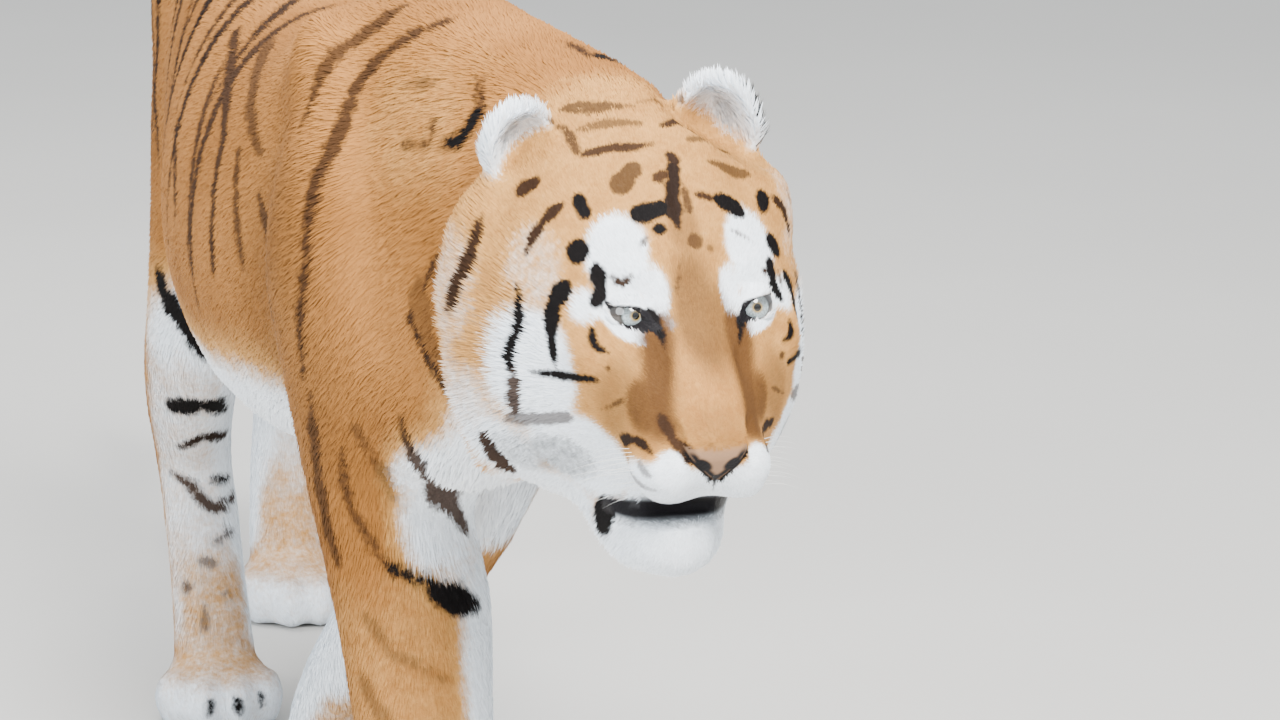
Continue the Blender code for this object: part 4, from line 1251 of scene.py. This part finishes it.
ruff = ramp(np.abs(side + 1.0), 9.5, 14.0) * ramp(above, 5.0, -3.0) * ramp(ahead, 1.0, -7.0)
beard = ramp(above, -17.0, -21.0) * ramp(ahead, 9.0, 3.0)
cup = ear_part * ramp(head_normals[:, 1], 0.1, -0.4)
length = per_part(LENGTH, LEG_LENGTH)
head_length = np.interp(ahead, *HEAD_LENGTHS) * (1 - (1 - CROWN_SHARE) * ramp(above, 3.0, 7.0))
length[head_part] = (head_length + RUFF_EXTRA * ruff + CHIN_EXTRA * beard)[head_part]
length += BELLY_EXTRA * ramp(facing_up, -0.3, -0.8) * body_part
length[paw_part] = PAW_LENGTH
store(skin.data, "fur_length", eased(length + CUP_EXTRA * cup, edges, 9))
density = per_part(DENSITY, LEG_DENSITY)
density[head_part] = np.interp(ahead, *HEAD_DENSITIES)[head_part]
density[paw_part] = PAW_DENSITY
density = eased(density, edges, 5) * ramp(bare, 0.5, 0.15)
density[height < 0.004] = 0
rise = per_part(RISE, LEG_RISE)
rise[head_part] = (0.09 + 0.10 * ruff + 0.10 * beard)[head_part]
store(skin.data, "fur_rise", eased(rise + 0.20 * cup, edges, 9))
print("longest hairs:", round(length.max() * 1000), "mm")

# %% [markdown]
# ## Unwrap the skin
# Each tuft can carry its colour as a tiny patch of a picture. The patch lies where the tuft's root lies on an
# unwrap of the skin, so the unwrap is made now, from the skin's own shape.

# %% Unwrap
PATCH = 0.003

skin.data.uv_layers.active = skin.data.uv_layers.new(name="skin_uv")
bpy.ops.object.select_all(action="DESELECT")
bpy.context.view_layer.objects.active = skin
skin.select_set(True)
bpy.ops.object.mode_set(mode="EDIT")
bpy.ops.mesh.select_all(action="SELECT")
bpy.ops.uv.smart_project(angle_limit=math.radians(66), island_margin=0.002)
bpy.ops.object.mode_set(mode="OBJECT")
print("corners unwrapped:", len(skin.data.loops))

# %% [markdown]
# ## One tuft
# A tuft is a lock of hairs that has clumped together. One closed kite is enough: four points and four
# triangles, one unit long, stretched later to the length and width of the hair where it grows. Its upper
# faces are seen.

# %% The tuft
TUFT_POINTS = np.array([(0, 0, -0.55), (-0.5, 0.34, 0.25), (0.5, 0.34, 0.25), (0, 1, -0.15)])
TUFT_FACES = ((0, 2, 1), (1, 2, 3), (0, 1, 3), (0, 3, 2))
TUFT_CORNERS = len(TUFT_POINTS)

tuft_mesh = bpy.data.meshes.new("tuft")
tuft_mesh.from_pydata(TUFT_POINTS, [], TUFT_FACES)
store(tuft_mesh, "along", TUFT_POINTS[:, 1])
store(tuft_mesh, "patch", TUFT_POINTS * np.array([1, 1, 0]) - np.array([0, 0.5, 0]))
smooth_shaded(tuft_mesh)
tuft = bpy.data.objects.new("tuft", tuft_mesh)
print("triangles in a tuft:", len(TUFT_FACES))

# %% [markdown]
# ## Plant the tufts with Geometry Nodes
# The tree scatters points over the skin, turns a tuft at each so that it lies along the coat and rises a
# little, scales it, makes all of them real mesh, and writes each tuft's patch of the unwrap. Sizes and seed
# are inputs.


# %% The planting tree
def stored(tree, name, kind="FLOAT"):
    return node(tree, "GeometryNodeInputNamedAttribute", {"Name": name}, data_type=kind)["Attribute"]


def planted(tree, points, shape, rotation, scale):
    """An object put on every point, turned and scaled, and then made real."""
    shape = node(tree, "GeometryNodeObjectInfo", {"Object": shape}, transform_space="ORIGINAL")["Geometry"]
    values = {"Points": points, "Instance": shape, "Rotation": rotation, "Scale": scale}
    plants = node(tree, "GeometryNodeInstanceOnPoints", values)[0]
    return node(tree, "GeometryNodeRealizeInstances", {0: plants})[0]


def end_tree(tree, geometry, material):
    dressed = node(tree, "GeometryNodeSetMaterial", {"Geometry": geometry, "Material": material})[0]
    node(tree, "NodeGroupOutput", {"Geometry": dressed})
    return tree


def planting_tree():
    sockets = (
        ("Geometry", "Geometry"),
        ("Where", "String", "grow"),
        ("Width Share", "Float", 0.085),
        ("Least Width", "Float", 0.0006),
        ("Thickness Share", "Float", 0.40),
        ("Sway", "Float", 0.16),
        ("Patch", "Float", 0.003),
        ("Seed", "Int", 1),
        ("Tuft", "Object"),
        ("Material", "Material"),
    )
    tree, given = new_tree("plant tufts", "GeometryNodeTree", sockets, "Geometry")

    def chance_between(low, high, offset):
        values = {2: low, 3: high, "Seed": sum_of(tree, "ADD", given["Seed"], offset)}
        return node(tree, "FunctionNodeRandomValue", values, data_type="FLOAT")[1]

    def keep_as(geometry, name, value, kind, domain="POINT"):
        values = {"Geometry": geometry, "Name": name, "Value": value}
        made = node(tree, "GeometryNodeStoreNamedAttribute", values, data_type=kind, domain=domain)
        return made["Geometry"]

    def scaled(value, low, high, offset):
        return sum_of(tree, "MULTIPLY", value, chance_between(low, high, offset))

    values = {"Mesh": given["Geometry"], "Density": stored(tree, given["Where"]), "Seed": given["Seed"]}
    scatter = node(tree, "GeometryNodeDistributePointsOnFaces", values, distribute_method="RANDOM")
    position = node(tree, "GeometryNodeInputPosition")[0]
    points = keep_as(scatter["Points"], "root", position, "FLOAT_VECTOR")
    points = keep_as(points, "tone", chance_between(0, 1, 3), "FLOAT")
    points = keep_as(points, "root_normal", scatter["Normal"], "FLOAT_VECTOR")

    values = {"Rotation": scatter["Rotation"], "Vector": stored(tree, "fur_lie", "FLOAT_VECTOR")}
    lie = node(tree, "FunctionNodeAlignRotationToVector", values, axis="Y", pivot_axis="Z")[0]
    values = {"X": scaled(stored(tree, "fur_rise"), 0.5, 1.5, 5), "Z": scaled(given["Sway"], -1.0, 1.0, 7)}
    lean = node(tree, "FunctionNodeEulerToRotation", {0: node(tree, "ShaderNodeCombineXYZ", values)[0]})[0]
    turn = node(tree, "FunctionNodeRotateRotation", {0: lie, 1: lean}, rotation_space="LOCAL")[0]

    length = stored(tree, "fur_length")
    width = sum_of(tree, "MULTIPLY_ADD", length, given["Width Share"], given["Least Width"])
    width = scaled(width, 0.75, 1.3, 11)
    thickness = sum_of(tree, "MULTIPLY", width, given["Thickness Share"])
    values = {"X": width, "Y": scaled(length, 0.7, 1.15, 13), "Z": thickness}
    size = node(tree, "ShaderNodeCombineXYZ", values)[0]

    real = planted(tree, points, given["Tuft"], turn, size)
    values = {0: stored(tree, "patch", "FLOAT_VECTOR"), "Scale": given["Patch"]}
    spread = node(tree, "ShaderNodeVectorMath", values, operation="SCALE")[0]
    values = {0: stored(tree, "skin_uv", "FLOAT_VECTOR"), 1: spread}
    on_map = node(tree, "ShaderNodeVectorMath", values, operation="ADD")[0]
    return end_tree(tree, keep_as(real, "OFBake", on_map, "FLOAT2", "CORNER"), given["Material"])


def grown(name, mesh, tree, inputs):
    """An object for the mesh with the tree's result as its own mesh. Inputs are set by socket identifier."""
    made = add_object(name, mesh)
    grow = made.modifiers.new("plant", "NODES")
    grow.node_group = tree
    for item in tree.interface.items_tree:
        if item.in_out == "INPUT" and item.name in inputs:
            grow[item.identifier] = inputs[item.name]
    applied(made)
    only_material(made.data, inputs["Material"])
    return made


PLANTING = planting_tree()
print("nodes in the planting tree:", len(PLANTING.nodes))

# %% [markdown]
# ## The look of the hair
# A tuft is painted a little darker at its root than at its tip, as painted shade where the tufts cover one
# another near the skin, and each tuft has a tone of its own.

# %% The coat's material
coat_material, tree, shader = new_material("tiger coat")
# Painted shade: each tuft darkens towards its root. The tone below adds a random difference of its own.
shade = sum_of(tree, "MULTIPLY_ADD", attribute(tree, "along"), 0.20, 0.88)
shade = sum_of(tree, "ADD", shade, sum_of(tree, "MULTIPLY_ADD", attribute(tree, "tone"), 0.20, -0.10))
look = {"Base Color": coat_colour(tree, shade), "Roughness": 0.70, "Specular IOR Level": 0.08}
feed(tree, shader, look)
print("materials:", len(bpy.data.materials))

# %% [markdown]
# ## The coat, piece by piece
# One mesh for the whole coat would be too heavy to handle, so it is planted in pieces. Neighbouring pieces
# meet without a gap, because every point of the skin belongs to exactly one of them.

# %% Share the skin out
MOST_TUFTS = 42000
along_body = -places[:, 1]
front_face = head_part & ((ahead > -5.5) | on("jaw"))
COAT_PIECES = {
    "coat_face": front_face,
    "coat_crown": head_part & ~front_face | ear_part,
    "coat_neck": on("neck"),
    "coat_shoulders": on("trunk") & (along_body >= 0.40),
    "coat_ribs": on("trunk") & (along_body < 0.40) & (along_body >= 0.08),
    "coat_loin": on("trunk") & (along_body < 0.08) & (along_body >= -0.25),
    "coat_rump": on("trunk") & (along_body < -0.25),
    "coat_forelegs": on("fore"),
    "coat_hindlegs": on("hind"),
    "coat_tail": tail_part,
}

area_of_points = np.zeros(len(places))  # the share of the surface that belongs to each point
for face in skin.data.polygons:
    for vert in face.vertices:
        area_of_points[vert] += face.area / len(face.vertices)
print("area of the skin:", round(float(area_of_points.sum()), 2), "square metres")

# %% [markdown]
# ## Plant the coat
# Each tuft reads the stripes near its root, so that a stripe keeps its edge, and its upper faces are shaded
# partly like the skin below, which makes the coat look soft.

# %% Plant the coat
COAT_ATTRIBUTES = ("along", "tone", "pale", "rust", "sable", "stripe", "ink", "OFBake")
SKIN_ATTRIBUTES = ("pale", "rust", "sable", "stripe", "ink", "leather", "dark", "skin_uv")
SOFT_SHARE = 0.62  # how far the shading of a tuft follows the skin under it instead of its own facets
LEAST_HEIGHT = 0.0008  # of a hair over the ground
SEEN_AT = 0.62  # the middle of the part of a tuft that other tufts leave bare, as a share of its length
SEEN_SPREAD = 0.45  # how far its corners read the stripes from there
UPPER_FACE = 0.15  # a face that looks outwards by more than this is an upper one
PER_SQUARE_METRE = 1e4  # square centimetres
FIRST_SEED = 11


def dot(one, two):
    return np.einsum("...i,...i->...", one, two)[..., None]


def soften(mesh, points, skin_normals):
    """Turns the shading of the upper faces of each tuft towards the skin."""
    corners = points[:, np.array(TUFT_FACES)]
    facing = unit(np.cross(corners[:, :, 1] - corners[:, :, 0], corners[:, :, 2] - corners[:, :, 0]))
    outward = np.broadcast_to(skin_normals, facing.shape)
    mixed = unit(facing * (1 - SOFT_SHARE) + outward * SOFT_SHARE)
    mixed = np.where(dot(facing, outward) > UPPER_FACE, mixed, facing)
    mesh.normals_split_custom_set(np.repeat(mixed.reshape(-1, 3), 3, axis=0).astype(np.float32))


def plant_coat(name, mask, seed):
    wanted = density * PER_SQUARE_METRE * mask
    wanted *= min(1.0, MOST_TUFTS / float((wanted * area_of_points).sum()))
    store(skin.data, "grow", wanted)
    inputs = {"Where": "grow", "Patch": PATCH, "Seed": seed, "Tuft": tuft, "Material": coat_material}
    made = grown(name, skin.data.copy(), PLANTING, inputs)
    mesh = made.data
    points = read(mesh)
    points[:, 2] = np.maximum(points[:, 2], LEAST_HEIGHT)
    write_places(mesh, points)
    points = points.reshape(-1, TUFT_CORNERS, 3)
    root, skin_normals = (read(mesh, key).reshape(points.shape)[:, :1] for key in ("root", "root_normal"))
    skin_normals = unit(skin_normals)
    from_root = points - root
    flattened = from_root - dot(from_root, skin_normals) * skin_normals
    seen = SEEN_AT * flattened[:, -1:]
    store_stripes(mesh, (root + seen + SEEN_SPREAD * (flattened - seen)).reshape(-1, 3))
    keep_only(mesh, COAT_ATTRIBUTES)
    soften(mesh, points, skin_normals)
    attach(made, "root")
    print(name, len(root), "tufts")
    return len(mesh.polygons)


coat_triangles = 0
for seed, (name, mask) in enumerate(COAT_PIECES.items(), FIRST_SEED):
    coat_triangles += plant_coat(name, mask, seed)
keep_only(skin.data, SKIN_ATTRIBUTES)
print("triangles in the coat:", coat_triangles)

# %% [markdown]
# ## The eyes
# A tiger's eye is a clear dome over a coloured iris with a round pupil. Each eye is one ball whose front
# swells into a cornea; rings of colour are worked out from how far each point is from the axis of its gaze,
# and the top of the ball is painted dark as the shadow of the upper lid.

# %% Eyeballs
IRIS_RADIUS = 0.0122
PUPIL_RADIUS = 0.0034
CORNEA_REACH, CORNEA_BULGE = 1.12, 0.0016  # in iris radii, and in metres
EYE_SIDES, EYE_RINGS = 48, 40
LID_SHADE = (0.0005, 0.0070)  # heights between which the painted shadow of the upper lid deepens over the ball
GAZE = {"eye_left": Vector((0.0, -1, 0.20)), "eye_right": Vector((0.14, -1, 0.20))}
EYE_WHITE = (0.055, 0.045, 0.040)
IRIS_EDGE = (0.02, 0.017, 0.012)
IRIS_DARK, IRIS_LIGHT, IRIS_INNER = (0.17, 0.21, 0.21), (0.40, 0.47, 0.50), (0.30, 0.20, 0.06)
PUPIL = (0.003, 0.003, 0.003)
LID_SHADOW_COLOUR = (0.03, 0.03, 0.03)


def make_eye(name):
    bm = bmesh.new()
    bmesh.ops.create_uvsphere(bm, u_segments=EYE_SIDES, v_segments=EYE_RINGS, radius=EYE_RADIUS)
    for vert in bm.verts:
        if vert.co.z > 0:
            off_axis = math.hypot(vert.co.x, vert.co.y) / (IRIS_RADIUS * CORNEA_REACH)
            vert.co.z += CORNEA_BULGE * max(0.0, 1 - off_axis**2)
    gaze = (HEAD.to_3x3() @ GAZE[name]).normalized()
    turn = gaze.to_track_quat("Z", "Y").to_matrix().to_4x4()
    bmesh.ops.transform(bm, matrix=Matrix.Translation(middle(name)) @ turn, verts=bm.verts)
    mesh = bpy.data.meshes.new(name + "_ball")
    bm.to_mesh(mesh)
    bm.free()
    at = read(mesh) - np.array(middle(name))
    along = at @ np.array(gaze)
    off_axis = np.linalg.norm(at - along[:, None] * np.array(gaze), axis=1)
    off_axis[along < 0] = 0.05
    store(mesh, "off_axis", off_axis)
    store(mesh, "lid_shade", ramp(at[:, 2], *LID_SHADE))
    smooth_shaded(mesh)
    return add_object(name + "_ball", mesh)


eye_material, tree, shader = new_material("tiger eye")
off_axis = attribute(tree, "off_axis")


def from_axis(radius, low, high, inner, outer):
    """One colour inside a ring about the gaze and another outside it."""
    return mix_colour(tree, soft_step(tree, off_axis, radius * low, radius * high), inner, outer)


streaks = soft_step(tree, noise(tree, object_place(tree), 620.0, 3.0, 0.7), 0.3, 0.7)
colour = mix_colour(tree, streaks, IRIS_DARK, IRIS_LIGHT)
colour = from_axis(PUPIL_RADIUS, 1.0, 1.9, IRIS_INNER, colour)
colour = from_axis(IRIS_RADIUS, 0.80, 1.0, colour, IRIS_EDGE)
colour = from_axis(IRIS_RADIUS, 1.0, 1.1, colour, EYE_WHITE)
colour = from_axis(PUPIL_RADIUS, 0.9, 1.1, PUPIL, colour)
# Painted shadow of the upper lid over the top of the ball.
colour = mix_colour(tree, sum_of(tree, "MULTIPLY", attribute(tree, "lid_shade"), 0.72), colour, LID_SHADOW_COLOUR)
look = {"Base Color": colour, "Roughness": 0.12, "IOR": 1.38, "Coat Weight": 1.0, "Coat Roughness": 0.02}
feed(tree, shader, look)
for name in ("eye_left", "eye_right"):
    eye = make_eye(name)
    eye.data.materials.append(eye_material)
    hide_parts(name)
    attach(eye, "root")
print("eyes made")

# %% [markdown]
# ## One whisker
# A whisker is one tapering hair that droops a little. It is modelled one unit long, and a second Geometry
# Nodes tree plants it on marked points, turned and scaled by their attributes.

# %% The whisker
WHISKER_RADIUS = 0.0045  # of a hair one unit long
WHISKER_SIDES, WHISKER_RINGS = 5, 9
WHISKER_DROOP = 0.16


def whisker_shape():
    points, faces = [], []
    for along in np.linspace(0, 1, WHISKER_RINGS):
        radius = WHISKER_RADIUS * (1 - 0.85 * along)
        for turn in 2 * math.pi * np.arange(WHISKER_SIDES) / WHISKER_SIDES:
            droop = WHISKER_DROOP * along**2
            points.append((radius * math.cos(turn), along, radius * math.sin(turn) - droop))
    for start in range(0, len(points) - WHISKER_SIDES, WHISKER_SIDES):
        for corner in range(WHISKER_SIDES):
            low, high = start + corner, start + (corner + 1) % WHISKER_SIDES
            faces.append((low, low + WHISKER_SIDES, high + WHISKER_SIDES, high))
    faces.append(tuple(range(WHISKER_SIDES)))
    faces.append(tuple(reversed(range(len(points) - WHISKER_SIDES, len(points)))))
    mesh = bpy.data.meshes.new("whisker")
    mesh.from_pydata(points, [], faces)
    smooth_shaded(mesh)
    return bpy.data.objects.new("whisker", mesh)


def whisker_tree():
    sockets = (("Geometry", "Geometry"), ("Whisker", "Object"), ("Material", "Material"))
    tree, given = new_tree("plant whiskers", "GeometryNodeTree", sockets, "Geometry")
    values = {"Vector": stored(tree, "way", "FLOAT_VECTOR")}
    turn = node(tree, "FunctionNodeAlignRotationToVector", values, axis="Y", pivot_axis="AUTO")[0]
    real = planted(tree, given["Geometry"], given["Whisker"], turn, stored(tree, "size"))
    return end_tree(tree, real, given["Material"])


whisker_material, tree, shader = new_material("tiger whisker")
feed(tree, shader, {"Base Color": (0.80, 0.80, 0.78, 1), "Roughness": 0.45})
print("rings of a whisker:", WHISKER_RINGS)

# %% [markdown]
# ## Whiskers
# Each side of the muzzle carries rows of long stiff hairs that sweep out, back and a little down.

# %% Plant the whiskers
# height of each row, how far forward it starts and how many whiskers it has
WHISKER_ROWS = ((-10.2, 7.4, 4), (-11.3, 7.0, 5), (-12.4, 6.8, 5), (-13.4, 7.2, 4))
WHISKER_STEP = 1.0  # between the whiskers of a row, in centimetres
WHISKER_LENGTH = (0.045, 0.085)

roots, ways, sizes = [], [], []
for flank in (-1, 1):
    for row_height, first, count in WHISKER_ROWS:
        for number in range(count):
            forward = first + number * WHISKER_STEP
            inner = on_head(NOSE_MIDDLE, forward, row_height)
            outer = on_head(NOSE_MIDDLE + flank, forward, row_height)
            hit = skin_tree.ray_cast(inner, outer - inner)[0]
            if not hit:
                continue
            spread = (flank, -1.15 + 0.12 * number, -0.30 + 0.10 * chance.uniform(-1, 1))
            roots.append(hit)
            ways.append((on_head(*spread) - on_head(0, 0, 0)).normalized())
            sizes.append(chance.uniform(*WHISKER_LENGTH) * (1 - 0.08 * number))
marks = bpy.data.meshes.new("whisker roots")
marks.from_pydata(roots, [], [])
store(marks, "way", np.array(ways))
store(marks, "size", np.array(sizes))
inputs = {"Whisker": whisker_shape(), "Material": whisker_material}
whiskers = grown("whiskers", marks, whisker_tree(), inputs)
keep_only(whiskers.data, ())
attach(whiskers, "root")
print("whiskers:", len(roots), "with", len(whiskers.data.polygons), "faces")

# %% [markdown]
# ## Floor and light
# A museum model stands on a plain pale floor under broad soft lamps, like an overcast sky with one brighter
# side.

# %% Floor, lamps and sky
FLOOR_HALF = 20
SKY, SKY_STRENGTH = (0.80, 0.86, 0.92, 1), 0.95
LAMPS = (  # name, place, aim, size, power, colour
    ("key", (0.6, -4.4, 4.4), (0, -0.8, 0.6), 2.6, 860, (1.0, 0.98, 0.95)),
    ("fill", (-4.5, -3.0, 2.6), (0, -0.6, 0.5), 3.5, 340, (0.93, 0.97, 1.0)),
    ("top", (-0.5, 1.0, 4.5), (0, 0, 0.6), 3.0, 280, (1.0, 0.99, 0.97)),
)

corners = [(x * FLOOR_HALF, y * FLOOR_HALF, 0) for x, y in ((-1, -1), (1, -1), (1, 1), (-1, 1))]
floor_mesh = bpy.data.meshes.new("floor")
floor_mesh.from_pydata(corners, [], [(0, 1, 2, 3)])
floor = add_object("floor", floor_mesh)
floor_material, tree, shader = new_material("pale floor")
tint = mix_colour(tree, noise(tree, object_place(tree), 1.4, 4.0), (0.50, 0.49, 0.47), (0.56, 0.55, 0.53))
feed(tree, shader, {"Base Color": tint, "Roughness": 0.9})
floor_mesh.materials.append(floor_material)

for name, place, aim, size, power, colour in LAMPS:
    lamp = bpy.data.lights.new(name, "AREA")
    lamp.shape = "DISK"
    lamp.size = size
    lamp.energy = power
    lamp.color = colour
    stand(name, lamp, place, (Vector(aim) - Vector(place)).to_track_quat("-Z", "Y"))
world = bpy.data.worlds.new("studio")
world.use_nodes = True
feed(world.node_tree, world.node_tree.nodes["Background"], {"Color": SKY, "Strength": SKY_STRENGTH})
bpy.context.scene.world = world
print("lamps:", len(LAMPS))

# %% [markdown]
# ## The end
# A last line is printed when the scene is built.

# %% The end
print("scene built")
